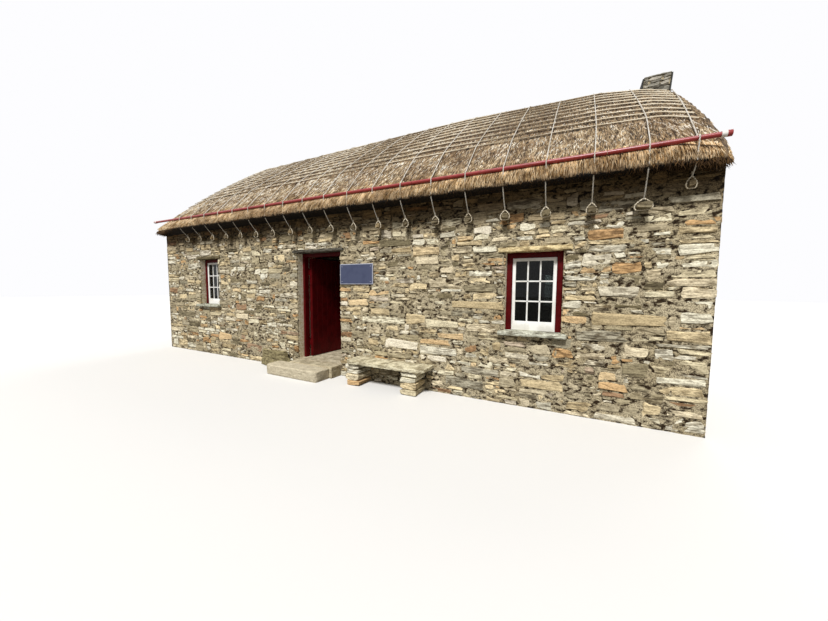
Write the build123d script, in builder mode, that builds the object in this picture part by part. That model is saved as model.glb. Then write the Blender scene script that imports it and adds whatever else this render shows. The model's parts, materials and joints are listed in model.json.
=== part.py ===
"""Single-storey stone cottage with a roped thatch roof.

The origin is at the centre of the plan, on the lowest ground that the walls reach.
+X runs along the front towards the chimney end, -Y points out of the front door, +Z is up.
All sizes are millimetres.
"""
import os
from math import asin, cos, radians, sin, tan

from build123d import *

# Body of the house
LENGTH = 10700
WIDTH = 5000
WALL = 500
WALL_HEAD = 2880
ROOF_PITCH = 36
FLOOR_LEVEL = 205

# Doorway in the front wall, and the door that hangs in it
DOORWAY_X = -166
DOORWAY_WIDTH = 1038
DOORWAY_HEAD = 2225
DOOR_SETBACK = 140
DOOR_JAMB = 50
DOOR_FRAME_HEAD = 64
DOOR_FRAME_DEPTH = 100
LEAF_THICKNESS = 45
LEAF_GAP = 6
LEAF_FLOOR_GAP = 8
LEAF_OPEN_ANGLE = 88
DOOR_LINTEL_WIDTH = 1230
DOOR_LINTEL_THICKNESS = 55
DOOR_LINTEL_PROJECTION = 45

# Lift-off hinges of the door
HINGE_BARREL_RADIUS = 10
HINGE_PIN_RADIUS = 5
HINGE_PIN_CLEARANCE = 0.4
HINGE_KNUCKLE = 55
HINGE_PLATE_LENGTH = 44
HINGE_PLATE_THICKNESS = 3
HINGE_FACE_GAP = 1
HINGE_KNUCKLE_GAP = 0.3
HINGE_END_MARGIN = 230

# Windows: the same timber frame and sash in every opening
WINDOW_FROM_CORNER = 1793
WINDOW_WIDTH = 705
SASH_WIDTH = 553
SASH_HEIGHT = 975
SASH_RAIL = 42
SASH_BOTTOM_RAIL = 125
SASH_THICKNESS = 45
GLASS_THICKNESS = 4
WINDOW_FRAME_HEAD = 72
WINDOW_FRAME_DEPTH = 90
WINDOW_SETBACK = 120
RIGHT_SILL_TOP = 1020
LEFT_SILL_TOP = 1172
WINDOW_LINTEL_WIDTH = 900
WINDOW_LINTEL_THICKNESS = 65
WINDOW_LINTEL_PROJECTION = 30
SILL_WIDTH = 850
SILL_THICKNESS = 62
SILL_PROJECTION = 90
LINTEL_DEPTH = 220

# Thatch: eaves, rounded ridge and drooping ends
EAVE_OVERHANG = 300
VERGE_OVERHANG = 10
EAVE_DROP = 5
LIP_HEIGHT = 150
LIP_LEAN = 20
RIDGE_THICKNESS = 489
RIDGE_SHOULDER_DROP = 130
RIDGE_SHOULDER_HALF = 320
FLANK_BULGE = 50
FLANK_RUNS = 3
HALF_CROWN_RUNS = 2
RIDGE_DIP_START = 3440
RIGHT_SHOULDER_LENGTH = 1060
RIGHT_SHOULDER_DROP = 110
RIGHT_TURN_LENGTH = 460
RIGHT_TURN_DROP = 210
RIGHT_END_DROP = 350
RIGHT_EAVE_FALL = 25
LEFT_SHOULDER_LENGTH = 960
LEFT_END_DROP = 100
LEFT_END_LIFT = 75
LEFT_EAVE_LIFT = 70
END_LIP_LOSS = 60
END_LIP_DRAW = 100

# Roof timbers: pairs of rafters that meet at a ridge board, each pair tied by a collar
COUPLE_COUNT = 5
RAFTER_WIDTH = 90
RAFTER_DEPTH = 140
RIDGE_BOARD_THICKNESS = 40
COLLAR_DEPTH = 100
COLLAR_RISE = 870

# Poles that the ropes bear on, above each eave
POLE_RADIUS = 24
POLE_END_INSET = 135
POLE_CAP_RADIUS = 30
POLE_CAP_LENGTH = 80
POLE_RISE = 60
POLE_JOINT_GAP = 3
POLE_SEAT_GAP = 0.9

# Ropes over the thatch and the pegs that hold them
ROPE_COUNT = 19
ROPE_FROM_LEFT_CORNER = 1220
ROPE_FROM_RIGHT_CORNER = 680
ROPE_TOP_SHIFT = 70
ROPE_TOP_SPACING = 530
END_ROPE_FROM_CORNER = 290
END_ROPE_FROM_CHIMNEY = 75
ROPE_RADIUS = 9
ROPE_SEAT_GAP = 0.8
ROPE_PEG_RUN = 40
ROPE_TURN = 52
LINE_COUNT = 10
LINE_SPACING = 230
LINE_RADIUS = 6
PEG_DROP = 290
PEG_LINE_FALL = 118
PEG_WIDTH = 150
PEG_HEIGHT = 70
PEG_SHOULDER = 30
PEG_LENGTH = 160
PEG_ROPE_REACH = 120
END_PEG_RISE = 185
SEAT_GAP = 0.3

# Chimney on the right gable
CHIMNEY_WIDTH = 360
CHIMNEY_DEPTH = 420
CHIMNEY_INSET = 100
CHIMNEY_HEIGHT = 665
CHIMNEY_BEDDING = 276
CHIMNEY_LEAN = 50
CHIMNEY_WALL = 90
CHIMNEY_CAP_OVERHANG = 10
CHIMNEY_CAP_THICKNESS = 25
THATCH_CUT_GAP = 10

# Stone bench, sign, step and boulder outside the front wall
BENCH_FROM_DOORWAY = 417
BENCH_LENGTH = 1400
BENCH_DEPTH = 400
BENCH_TOP = 415
BENCH_SEAT_THICKNESS = 62
BENCH_PIER_WIDTH = 265
BENCH_PIER_DEPTH = 360
BENCH_END_OVERHANG = 120
SIGN_FROM_DOORWAY = 30
SIGN_WIDTH = 688
SIGN_BOTTOM = 1640
SIGN_HEIGHT = 346
SIGN_THICKNESS = 22
UPPER_STEP_DEPTH = 240
UPPER_STEP_DROP = 5
LOWER_STEP_DEPTH = 320
LOWER_STEP_DROP = 22
LOWER_STEP_LEFT_REACH = 250
LOWER_STEP_RIGHT_SET_IN = 55
STEP_CORNER = 60
STEP_EDGE = 12
BOULDER_FROM_DOORWAY = 170
BOULDER_LENGTH = 900
BOULDER_DEPTH = 220
BOULDER_TOP = 330
BOULDER_BATTER = 8

# Values that follow from the sizes above
HALF_LENGTH = LENGTH / 2
HALF_WIDTH = WIDTH / 2
SLOPE = tan(radians(ROOF_PITCH))
RIDGE_UNDERSIDE = WALL_HEAD + HALF_WIDTH * SLOPE
RIDGE_TOP = RIDGE_UNDERSIDE + RIDGE_THICKNESS
EAVE_LIP = WALL_HEAD - EAVE_DROP
INNER_HEAD = WALL_HEAD + WALL * SLOPE
FRONT_FACE = -HALF_WIDTH
DOORWAY_LEFT = DOORWAY_X - DOORWAY_WIDTH / 2
DOORWAY_RIGHT = DOORWAY_X + DOORWAY_WIDTH / 2
WINDOW_X = HALF_LENGTH - WINDOW_FROM_CORNER
WINDOW_HEIGHT = SASH_HEIGHT + WINDOW_FRAME_HEAD
CHIMNEY_X = HALF_LENGTH - CHIMNEY_INSET - CHIMNEY_WIDTH / 2
CHIMNEY_SEAT = RIDGE_UNDERSIDE - CHIMNEY_BEDDING
STACK_TOP = CHIMNEY_SEAT + CHIMNEY_HEIGHT


def wall_section():
    """Section of a side wall: its top follows the underside of the thatch."""
    with BuildLine() as outline:
        Polyline(
            (FRONT_FACE, 0),
            (FRONT_FACE + WALL, 0),
            (FRONT_FACE + WALL, INNER_HEAD),
            (FRONT_FACE, WALL_HEAD),
            close=True,
        )
    make_face(outline.edges())


def cut_window(x, sill_top):
    """Cut a window opening through the front wall, from the sill's top to the lintel's seat."""
    with BuildSketch(Plane.XZ.offset(-FRONT_FACE)) as opening:
        with Locations((x, sill_top + WINDOW_HEIGHT / 2)):
            Rectangle(WINDOW_WIDTH, WINDOW_HEIGHT)
    extrude(opening.sketch, amount=-WALL, mode=Mode.SUBTRACT)


def cut_slab_seat(x, width, bottom, thickness, depth):
    """Cut the pocket in the front wall's outer face that a lintel or sill is built into."""
    with BuildSketch(Plane.XZ.offset(-FRONT_FACE)) as seat:
        with Locations((x, bottom + thickness / 2)):
            Rectangle(width, thickness)
    extrude(seat.sketch, amount=-depth, mode=Mode.SUBTRACT)


def cut_window_seats(x, sill_top):
    """Pockets for the lintel over a window and the sill under it."""
    cut_slab_seat(x, WINDOW_LINTEL_WIDTH, sill_top + WINDOW_HEIGHT, WINDOW_LINTEL_THICKNESS, LINTEL_DEPTH)
    cut_slab_seat(x, SILL_WIDTH, sill_top - SILL_THICKNESS, SILL_THICKNESS, LINTEL_DEPTH)


# Front wall, split beside and over the doorway
with BuildPart() as front_wall_left:
    with BuildSketch(Plane.YZ.offset(-HALF_LENGTH)):
        wall_section()
    extrude(amount=DOORWAY_LEFT + HALF_LENGTH)
    cut_window(-WINDOW_X, LEFT_SILL_TOP)
    cut_window_seats(-WINDOW_X, LEFT_SILL_TOP)
    cut_slab_seat(DOORWAY_X, DOOR_LINTEL_WIDTH, DOORWAY_HEAD, DOOR_LINTEL_THICKNESS, LINTEL_DEPTH)

with BuildPart() as front_wall_right:
    with BuildSketch(Plane.YZ.offset(DOORWAY_RIGHT)):
        wall_section()
    extrude(amount=HALF_LENGTH - DOORWAY_RIGHT)
    cut_window(WINDOW_X, RIGHT_SILL_TOP)
    cut_window_seats(WINDOW_X, RIGHT_SILL_TOP)
    cut_slab_seat(DOORWAY_X, DOOR_LINTEL_WIDTH, DOORWAY_HEAD, DOOR_LINTEL_THICKNESS, LINTEL_DEPTH)

with BuildPart() as front_wall_over_door:
    with BuildSketch(Plane.YZ.offset(DOORWAY_LEFT)):
        wall_section()
    extrude(amount=DOORWAY_WIDTH)
    with BuildSketch(Plane.XY):
        with Locations((DOORWAY_X, FRONT_FACE + WALL / 2)):
            Rectangle(DOORWAY_WIDTH, WALL)
    extrude(amount=DOORWAY_HEAD, mode=Mode.SUBTRACT)
    cut_slab_seat(DOORWAY_X, DOOR_LINTEL_WIDTH, DOORWAY_HEAD, DOOR_LINTEL_THICKNESS, LINTEL_DEPTH)


def build_back_wall(side):
    """Half of the back wall (side -1 at the left): the front wall's section and window, with no door."""
    with BuildPart() as wall:
        with BuildSketch(Plane.YZ.offset(min(side, 0) * HALF_LENGTH)):
            wall_section()
        extrude(amount=HALF_LENGTH)
        cut_window(side * WINDOW_X, RIGHT_SILL_TOP)
        cut_window_seats(side * WINDOW_X, RIGHT_SILL_TOP)
        mirror(about=Plane.XZ, mode=Mode.REPLACE)
    return wall


back_wall_left = build_back_wall(-1)
back_wall_right = build_back_wall(1)


def build_gable(x_outer, thickness):
    """Gable wall between the side walls, up to the underside of the thatch."""
    with BuildPart() as gable:
        with BuildSketch(Plane.YZ.offset(x_outer)):
            with BuildLine():
                Polyline(
                    (-HALF_WIDTH + WALL, 0),
                    (HALF_WIDTH - WALL, 0),
                    (HALF_WIDTH - WALL, INNER_HEAD),
                    (0, RIDGE_UNDERSIDE),
                    (-HALF_WIDTH + WALL, INNER_HEAD),
                    close=True,
                )
            make_face()
        extrude(amount=thickness)
    return gable


def chimney_section(level, margin=0):
    """The stack's outline at a level, shifted by its lean towards the gable end."""
    lean = CHIMNEY_LEAN * (level - CHIMNEY_SEAT) / (STACK_TOP - CHIMNEY_SEAT)
    with BuildSketch(Plane.XY.offset(level)) as outline:
        with Locations((CHIMNEY_X + lean, 0)):
            Rectangle(CHIMNEY_WIDTH + 2 * margin, CHIMNEY_DEPTH + 2 * margin)
    return outline.sketch


def chimney_block(seat=CHIMNEY_SEAT, margin=0, mode=Mode.ADD):
    """The leaning block of the stack from a seat up, grown by a margin."""
    loft([chimney_section(level, margin) for level in (seat, STACK_TOP)], ruled=True, mode=mode)


left_gable_wall = build_gable(-HALF_LENGTH, WALL)

with BuildPart() as right_gable_wall:
    add(build_gable(HALF_LENGTH - WALL, WALL).part)
    chimney_block(mode=Mode.SUBTRACT)

# Floor between the walls, level with the threshold
with BuildPart() as floor_slab:
    with BuildSketch():
        Rectangle(LENGTH - 2 * WALL, WIDTH - 2 * WALL)
    extrude(amount=FLOOR_LEVEL)

with BuildPart() as threshold_slab:
    with BuildSketch():
        with Locations((DOORWAY_X, FRONT_FACE + WALL / 2)):
            Rectangle(DOORWAY_WIDTH, WALL)
    extrude(amount=FLOOR_LEVEL)

# Two flat slabs in front of the doorway, the lower one longer and further out
with BuildPart() as upper_step:
    with BuildSketch():
        with Locations((DOORWAY_X, FRONT_FACE)):
            Rectangle(DOORWAY_WIDTH, UPPER_STEP_DEPTH, align=(Align.CENTER, Align.MAX))
    extrude(amount=FLOOR_LEVEL - UPPER_STEP_DROP)

with BuildPart() as lower_step:
    with BuildSketch():
        with Locations((DOORWAY_LEFT - LOWER_STEP_LEFT_REACH, FRONT_FACE - UPPER_STEP_DEPTH)):
            Rectangle(
                DOORWAY_WIDTH + LOWER_STEP_LEFT_REACH - LOWER_STEP_RIGHT_SET_IN,
                LOWER_STEP_DEPTH,
                align=(Align.MIN, Align.MAX),
            )
    extrude(amount=FLOOR_LEVEL - LOWER_STEP_DROP)
    fillet(lower_step.edges().filter_by(Axis.Z).group_by(Axis.Y)[0], radius=STEP_CORNER)
    chamfer(lower_step.faces().sort_by(Axis.Z)[-1].edges().sort_by(Axis.Y)[0], length=STEP_EDGE)


def build_slab(x, width, bottom, thickness, projection):
    """Lintel or sill: a rough stone slab built into the wall and proud of its face."""
    with BuildPart() as slab:
        with BuildSketch(Plane.XY.offset(bottom)):
            with Locations((x, FRONT_FACE + LINTEL_DEPTH)):
                Rectangle(width, LINTEL_DEPTH + projection, align=(Align.CENTER, Align.MAX))
        extrude(amount=thickness)
        chamfer(slab.faces().sort_by(Axis.Y)[0].edges(), length=thickness / 8)
    return slab


def build_window_lintel(x, sill_top):
    return build_slab(
        x, WINDOW_LINTEL_WIDTH, sill_top + WINDOW_HEIGHT, WINDOW_LINTEL_THICKNESS, WINDOW_LINTEL_PROJECTION
    )


def build_window_sill(x, sill_top):
    return build_slab(x, SILL_WIDTH, sill_top - SILL_THICKNESS, SILL_THICKNESS, SILL_PROJECTION)


def build_window_frame(x, sill_top):
    """Two jambs and a head that line the opening; the sash stands on the stone sill."""
    with BuildPart() as frame:
        with BuildSketch(Plane.XZ.offset(-FRONT_FACE - WINDOW_SETBACK)):
            with Locations((x, sill_top)):
                Rectangle(WINDOW_WIDTH, WINDOW_HEIGHT, align=(Align.CENTER, Align.MIN))
                Rectangle(
                    SASH_WIDTH, SASH_HEIGHT, align=(Align.CENTER, Align.MIN), mode=Mode.SUBTRACT
                )
        extrude(amount=-WINDOW_FRAME_DEPTH)
    return frame


SASH_FACE = WINDOW_SETBACK + (WINDOW_FRAME_DEPTH - SASH_THICKNESS) / 4
PANE_WIDTH = SASH_WIDTH - 2 * SASH_RAIL
PANE_HEIGHT = SASH_HEIGHT - SASH_RAIL - SASH_BOTTOM_RAIL


def build_sash(x, sill_top):
    """Sash with one glazed light; its bottom rail is deeper than the others."""
    with BuildPart() as sash:
        with BuildSketch(Plane.XZ.offset(-FRONT_FACE - SASH_FACE)):
            with Locations((x, sill_top)):
                Rectangle(SASH_WIDTH, SASH_HEIGHT, align=(Align.CENTER, Align.MIN))
            with Locations((x, sill_top + SASH_BOTTOM_RAIL)):
                Rectangle(
                    PANE_WIDTH, PANE_HEIGHT, align=(Align.CENTER, Align.MIN), mode=Mode.SUBTRACT
                )
        extrude(amount=-SASH_THICKNESS)
    return sash


def build_glass(x, sill_top):
    """Glass in the middle of the sash's thickness."""
    with BuildPart() as glass:
        face = SASH_FACE + (SASH_THICKNESS - GLASS_THICKNESS) / 2
        with BuildSketch(Plane.XZ.offset(-FRONT_FACE - face)):
            with Locations((x, sill_top + SASH_BOTTOM_RAIL)):
                Rectangle(PANE_WIDTH, PANE_HEIGHT, align=(Align.CENTER, Align.MIN))
        extrude(amount=-GLASS_THICKNESS)
    return glass


def build_back_pair(builder):
    """The same window piece in both openings of the back wall."""
    with BuildPart() as pair:
        for x in (-WINDOW_X, WINDOW_X):
            add(builder(x, RIGHT_SILL_TOP).part)
        mirror(about=Plane.XZ, mode=Mode.REPLACE)
    return pair


left_window_lintel = build_window_lintel(-WINDOW_X, LEFT_SILL_TOP)
left_window_sill = build_window_sill(-WINDOW_X, LEFT_SILL_TOP)
left_window_frame = build_window_frame(-WINDOW_X, LEFT_SILL_TOP)
left_window_sash = build_sash(-WINDOW_X, LEFT_SILL_TOP)
left_window_glass = build_glass(-WINDOW_X, LEFT_SILL_TOP)
right_window_lintel = build_window_lintel(WINDOW_X, RIGHT_SILL_TOP)
right_window_sill = build_window_sill(WINDOW_X, RIGHT_SILL_TOP)
right_window_frame = build_window_frame(WINDOW_X, RIGHT_SILL_TOP)
right_window_sash = build_sash(WINDOW_X, RIGHT_SILL_TOP)
right_window_glass = build_glass(WINDOW_X, RIGHT_SILL_TOP)
back_window_lintels = build_back_pair(build_window_lintel)
back_window_sills = build_back_pair(build_window_sill)
back_window_frames = build_back_pair(build_window_frame)
back_window_sashes = build_back_pair(build_sash)
back_window_glass = build_back_pair(build_glass)

# Door frame: jambs and head behind the smooth outer reveal
door_lintel = build_slab(
    DOORWAY_X, DOOR_LINTEL_WIDTH, DOORWAY_HEAD, DOOR_LINTEL_THICKNESS, DOOR_LINTEL_PROJECTION
)

CLEAR_WIDTH = DOORWAY_WIDTH - 2 * DOOR_JAMB
CLEAR_HEAD = DOORWAY_HEAD - DOOR_FRAME_HEAD
FRAME_INNER_FACE = FRONT_FACE + DOOR_SETBACK + DOOR_FRAME_DEPTH
HINGE_X = DOORWAY_LEFT + DOOR_JAMB + LEAF_GAP / 2
HINGE_Y = FRAME_INNER_FACE + HINGE_BARREL_RADIUS + HINGE_FACE_GAP
HINGE_LEVELS = (FLOOR_LEVEL + HINGE_END_MARGIN, CLEAR_HEAD - HINGE_END_MARGIN - 2 * HINGE_KNUCKLE)


def add_hinge_plate(side, level):
    """Plate from the barrel along the inner face, towards +X (side 1) or -X (side -1)."""
    align = (Align.MIN if side > 0 else Align.MAX, Align.MIN)
    with BuildSketch(Plane.XY.offset(level)) as plate:
        with Locations((HINGE_X + side * LEAF_GAP / 2, FRAME_INNER_FACE)):
            Rectangle(HINGE_PLATE_LENGTH, HINGE_PLATE_THICKNESS, align=align)
        with Locations((HINGE_X + side * HINGE_BARREL_RADIUS * 0.8, FRAME_INNER_FACE)):
            Rectangle(HINGE_BARREL_RADIUS, HINGE_BARREL_RADIUS, align=(Align.CENTER, Align.MIN))
    extrude(plate.sketch, amount=HINGE_KNUCKLE)


with BuildPart() as door_frame:
    with BuildSketch(Plane.XZ.offset(-FRONT_FACE - DOOR_SETBACK)):
        with Locations((DOORWAY_X, FLOOR_LEVEL)):
            Rectangle(
                DOORWAY_WIDTH, DOORWAY_HEAD - FLOOR_LEVEL, align=(Align.CENTER, Align.MIN)
            )
            Rectangle(
                CLEAR_WIDTH, CLEAR_HEAD - FLOOR_LEVEL, align=(Align.CENTER, Align.MIN), mode=Mode.SUBTRACT
            )
    extrude(amount=-DOOR_FRAME_DEPTH)
    for level in HINGE_LEVELS:
        with BuildSketch(Plane.XY.offset(level)):
            with Locations((HINGE_X, HINGE_Y)):
                Circle(HINGE_BARREL_RADIUS)
        extrude(amount=HINGE_KNUCKLE)
        with BuildSketch(Plane.XY.offset(level)):
            with Locations((HINGE_X, HINGE_Y)):
                Circle(HINGE_PIN_RADIUS)
        extrude(amount=2 * HINGE_KNUCKLE)
        add_hinge_plate(-1, level)

LEAF_WIDTH = CLEAR_WIDTH - 2 * LEAF_GAP
LEAF_BOTTOM = FLOOR_LEVEL + LEAF_FLOOR_GAP
LEAF_TOP = CLEAR_HEAD - LEAF_GAP

with BuildPart() as door_leaf:
    with BuildSketch(Plane.XY.offset(LEAF_BOTTOM)):
        with Locations((HINGE_X + LEAF_GAP / 2, FRAME_INNER_FACE)):
            Rectangle(LEAF_WIDTH, LEAF_THICKNESS, align=(Align.MIN, Align.MAX))
    extrude(amount=LEAF_TOP - LEAF_BOTTOM)
    for level in HINGE_LEVELS:
        knuckle_level = level + HINGE_KNUCKLE + HINGE_KNUCKLE_GAP
        with BuildSketch(Plane.XY.offset(knuckle_level)):
            with Locations((HINGE_X, HINGE_Y)):
                Circle(HINGE_BARREL_RADIUS)
        extrude(amount=HINGE_KNUCKLE)
        add_hinge_plate(1, knuckle_level)
        with BuildSketch(Plane.XY.offset(knuckle_level)):
            with Locations((HINGE_X, HINGE_Y)):
                Circle(HINGE_PIN_RADIUS + HINGE_PIN_CLEARANCE)
        extrude(amount=HINGE_KNUCKLE, mode=Mode.SUBTRACT)
hinge_axis = Axis((HINGE_X, HINGE_Y, 0), (0, 0, 1))
door_leaf.part = door_leaf.part.rotate(hinge_axis, LEAF_OPEN_ANGLE)


# Stations along the roof: x, ridge drop, eave lift, how much thinner the lip gets and how far it draws in
VERGE_X = HALF_LENGTH + VERGE_OVERHANG
STATIONS = (
    (-VERGE_X, LEFT_END_DROP, LEFT_END_LIFT, END_LIP_LOSS, END_LIP_DRAW),
    (-VERGE_X + LEFT_SHOULDER_LENGTH, 0, LEFT_EAVE_LIFT, 0, 0),
    (VERGE_X - RIDGE_DIP_START, 0, 0, 0, 0),
    (VERGE_X - RIGHT_SHOULDER_LENGTH, RIGHT_SHOULDER_DROP, -RIGHT_EAVE_FALL, 0, 0),
    (VERGE_X - RIGHT_TURN_LENGTH, RIGHT_TURN_DROP, -RIGHT_EAVE_FALL, 0, 0),
    (VERGE_X, RIGHT_END_DROP, -RIGHT_EAVE_FALL, END_LIP_LOSS, END_LIP_DRAW),
)
LIP_Y = HALF_WIDTH + EAVE_OVERHANG
LIP_TOP_Y = LIP_Y - LIP_LEAN


def station_at(x):
    """Ridge drop, eave lift, lip loss and lip draw at any x, in line between its two stations."""
    for near, far in zip(STATIONS, STATIONS[1:]):
        if x <= far[0]:
            break
    share = (x - near[0]) / (far[0] - near[0])
    return [a + (b - a) * share for a, b in zip(near[1:], far[1:])]


def lip_foot(shape):
    """Lowest point (y, z) of the front lip."""
    return Vector(-LIP_Y + shape[3], EAVE_LIP + shape[1])


def flank_point(shape, share, rise=0):
    """Point (y, z) on the front flank, a share of the way from lip to shoulder, raised by rise."""
    ridge_drop, eave_lift, lip_loss, lip_draw = shape
    lip = Vector(-LIP_TOP_Y + lip_draw, EAVE_LIP + eave_lift + LIP_HEIGHT - lip_loss)
    shoulder = Vector(-RIDGE_SHOULDER_HALF, RIDGE_TOP - RIDGE_SHOULDER_DROP - ridge_drop)
    normal = (shoulder - lip).rotate(Axis.Z, 90).normalized()
    run = min(int(share * FLANK_RUNS), FLANK_RUNS - 1)
    ends = [end / FLANK_RUNS for end in (run, run + 1)]
    near, far = [FLANK_BULGE * 4 * end * (1 - end) for end in ends]
    bulge = near + (far - near) * (share * FLANK_RUNS - run)
    return lip + (shoulder - lip) * share + normal * (bulge + rise)


CROWN_RADIUS = (RIDGE_SHOULDER_HALF**2 + RIDGE_SHOULDER_DROP**2) / (2 * RIDGE_SHOULDER_DROP)
CROWN_ANGLE = asin(RIDGE_SHOULDER_HALF / CROWN_RADIUS)


def crown_point(shape, share, rise=0):
    """Point (y, z) on the rounded ridge, a share of the way from its shoulder to its top, raised by rise."""
    angle = CROWN_ANGLE * (1 - share)
    centre = Vector(0, RIDGE_TOP - shape[0] - CROWN_RADIUS)
    return centre + Vector(-sin(angle), cos(angle)) * (CROWN_RADIUS + rise)


def upper_front(shape):
    """Corner points of the thatch's upper face, from the front lip to the top of the ridge."""
    flank = [flank_point(shape, run / FLANK_RUNS) for run in range(FLANK_RUNS)]
    return flank + [crown_point(shape, run / HALF_CROWN_RUNS) for run in range(HALF_CROWN_RUNS + 1)]


def mirrored(points):
    """The same (y, z) points on the back of the roof."""
    return [Vector(-point.X, point.Y) for point in points]


def thatch_section(shape):
    """Cross-section of the thatch, with flat seats on the wall heads and a V over the room."""
    front = upper_front(shape)
    foot = lip_foot(shape)
    with BuildLine() as outline:
        Polyline(
            *front,
            *mirrored(reversed(front[:-1])),
            *mirrored([foot]),
            (HALF_WIDTH, WALL_HEAD),
            (0, RIDGE_UNDERSIDE),
            (-HALF_WIDTH, WALL_HEAD),
            foot,
            close=True,
        )
    make_face(outline.edges())


with BuildPart() as thatch_roof:
    for x, *shape in STATIONS:
        with BuildSketch(Plane.YZ.offset(x)):
            thatch_section(shape)
    loft(ruled=True)
    chimney_block(margin=THATCH_CUT_GAP, mode=Mode.SUBTRACT)

# Chimney stack with its flue, bedded in the right gable
with BuildPart() as chimney_stack:
    chimney_block()
    chimney_block(seat=CHIMNEY_SEAT + CHIMNEY_WALL, margin=-CHIMNEY_WALL, mode=Mode.SUBTRACT)

with BuildPart() as chimney_cap:
    for margin, mode in ((CHIMNEY_CAP_OVERHANG, Mode.ADD), (-CHIMNEY_WALL, Mode.SUBTRACT)):
        extrude(chimney_section(STACK_TOP, margin), amount=CHIMNEY_CAP_THICKNESS, mode=mode)

# Roof timbers between the wall heads, under the thatch
COUPLE_SPACING = (LENGTH - 2 * WALL) / (COUPLE_COUNT + 1)
COUPLE_PLACES = [(count + 1) * COUPLE_SPACING - HALF_LENGTH + WALL for count in range(COUPLE_COUNT)]
RAFTER_DROP = RAFTER_DEPTH / cos(radians(ROOF_PITCH))
RAFTER_FOOT_Y = HALF_WIDTH - WALL
BOARD_HALF = RIDGE_BOARD_THICKNESS / 2
COLLAR_BOTTOM = WALL_HEAD + COLLAR_RISE


def rafter_underside_y(level):
    """Distance from the ridge line to the underside of the rafters at a level."""
    return (RIDGE_UNDERSIDE - RAFTER_DROP - level) / SLOPE


with BuildPart() as rafters:
    for couple_x in COUPLE_PLACES:
        with BuildSketch(Plane.YZ.offset(couple_x - RAFTER_WIDTH / 2)):
            with BuildLine():
                Polyline(
                    (RAFTER_FOOT_Y, INNER_HEAD),
                    (BOARD_HALF, RIDGE_UNDERSIDE - BOARD_HALF * SLOPE),
                    (BOARD_HALF, RIDGE_UNDERSIDE - BOARD_HALF * SLOPE - RAFTER_DROP),
                    (RAFTER_FOOT_Y, INNER_HEAD - RAFTER_DROP),
                    close=True,
                )
            make_face()
        extrude(amount=RAFTER_WIDTH)
    mirror(about=Plane.XZ)

with BuildPart() as collar_ties:
    for couple_x in COUPLE_PLACES:
        with BuildSketch(Plane.YZ.offset(couple_x - RAFTER_WIDTH / 2)):
            with BuildLine():
                Polyline(
                    (-rafter_underside_y(COLLAR_BOTTOM), COLLAR_BOTTOM),
                    (rafter_underside_y(COLLAR_BOTTOM), COLLAR_BOTTOM),
                    (rafter_underside_y(COLLAR_BOTTOM + COLLAR_DEPTH), COLLAR_BOTTOM + COLLAR_DEPTH),
                    (-rafter_underside_y(COLLAR_BOTTOM + COLLAR_DEPTH), COLLAR_BOTTOM + COLLAR_DEPTH),
                    close=True,
                )
            make_face()
        extrude(amount=RAFTER_WIDTH)

with BuildPart() as ridge_board:
    with BuildSketch(Plane.YZ.offset(-HALF_LENGTH + WALL)):
        with Locations((0, RIDGE_UNDERSIDE - BOARD_HALF * SLOPE)):
            Rectangle(
                RIDGE_BOARD_THICKNESS, RAFTER_DROP, align=(Align.CENTER, Align.MAX)
            )
    extrude(amount=LENGTH - 2 * WALL)


def pole_seat(x):
    """Centre of the front eave pole where it lies on the thatch, just above the lip."""
    shape = station_at(x)
    flank_length = (flank_point(shape, 1) - flank_point(shape, 0)).length
    centre = flank_point(shape, POLE_RISE / flank_length, POLE_RADIUS + POLE_SEAT_GAP)
    return Vector(x, centre.X, centre.Y)


def run_on(near, far, x):
    """Point at x on the straight line through two points."""
    return near + (far - near) * ((x - near.X) / (far.X - near.X))


# The pole turns where the eave does, and its ends run straight on past the thatch's drawn-in corners
POLE_END_X = VERGE_X - POLE_END_INSET
POLE_SEATS = [pole_seat(station[0]) for station in STATIONS[1:-1]]
POLE_CORNERS = [
    run_on(POLE_SEATS[0], POLE_SEATS[1], -POLE_END_X),
    *POLE_SEATS[1:-1],
    run_on(POLE_SEATS[-2], POLE_SEATS[-1], POLE_END_X),
]


def pole_point(x):
    """Centre of the front eave pole at x."""
    for near, far in zip(POLE_CORNERS, POLE_CORNERS[1:]):
        if x <= far.X:
            break
    return run_on(near, far, x)


with BuildPart() as front_eave_pole:
    for start, end in zip(POLE_CORNERS, POLE_CORNERS[1:]):
        along = (end - start).normalized()
        with BuildSketch(Plane(origin=start + along * POLE_JOINT_GAP, z_dir=along)):
            Circle(POLE_RADIUS)
        extrude(amount=(end - start).length - 2 * POLE_JOINT_GAP)

with BuildPart() as back_eave_pole:
    add(front_eave_pole.part)
    mirror(about=Plane.XZ, mode=Mode.REPLACE)

# Caps on the four ends of the eave poles
with BuildPart() as eave_pole_caps:
    for pole in (front_eave_pole, back_eave_pole):
        for end in (pole.faces().sort_by(Axis.X)[0], pole.faces().sort_by(Axis.X)[-1]):
            with BuildSketch(Plane(origin=end.center(), z_dir=end.normal_at())):
                Circle(POLE_CAP_RADIUS)
            extrude(amount=POLE_CAP_LENGTH)


ROPE_SPACING = (LENGTH - ROPE_FROM_LEFT_CORNER - ROPE_FROM_RIGHT_CORNER) / (ROPE_COUNT - 1)
ROPE_FEET = [HALF_LENGTH - ROPE_FROM_RIGHT_CORNER - count * ROPE_SPACING for count in range(ROPE_COUNT)]
ROPE_TOPS = [ROPE_FEET[0] + ROPE_TOP_SHIFT - count * ROPE_TOP_SPACING for count in range(ROPE_COUNT)]
END_ROPE_FOOT = HALF_LENGTH - END_ROPE_FROM_CORNER
END_ROPE_TOP = CHIMNEY_X + CHIMNEY_WIDTH / 2 + END_ROPE_FROM_CHIMNEY
LINE_CLEAR = LINE_RADIUS + SEAT_GAP


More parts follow.
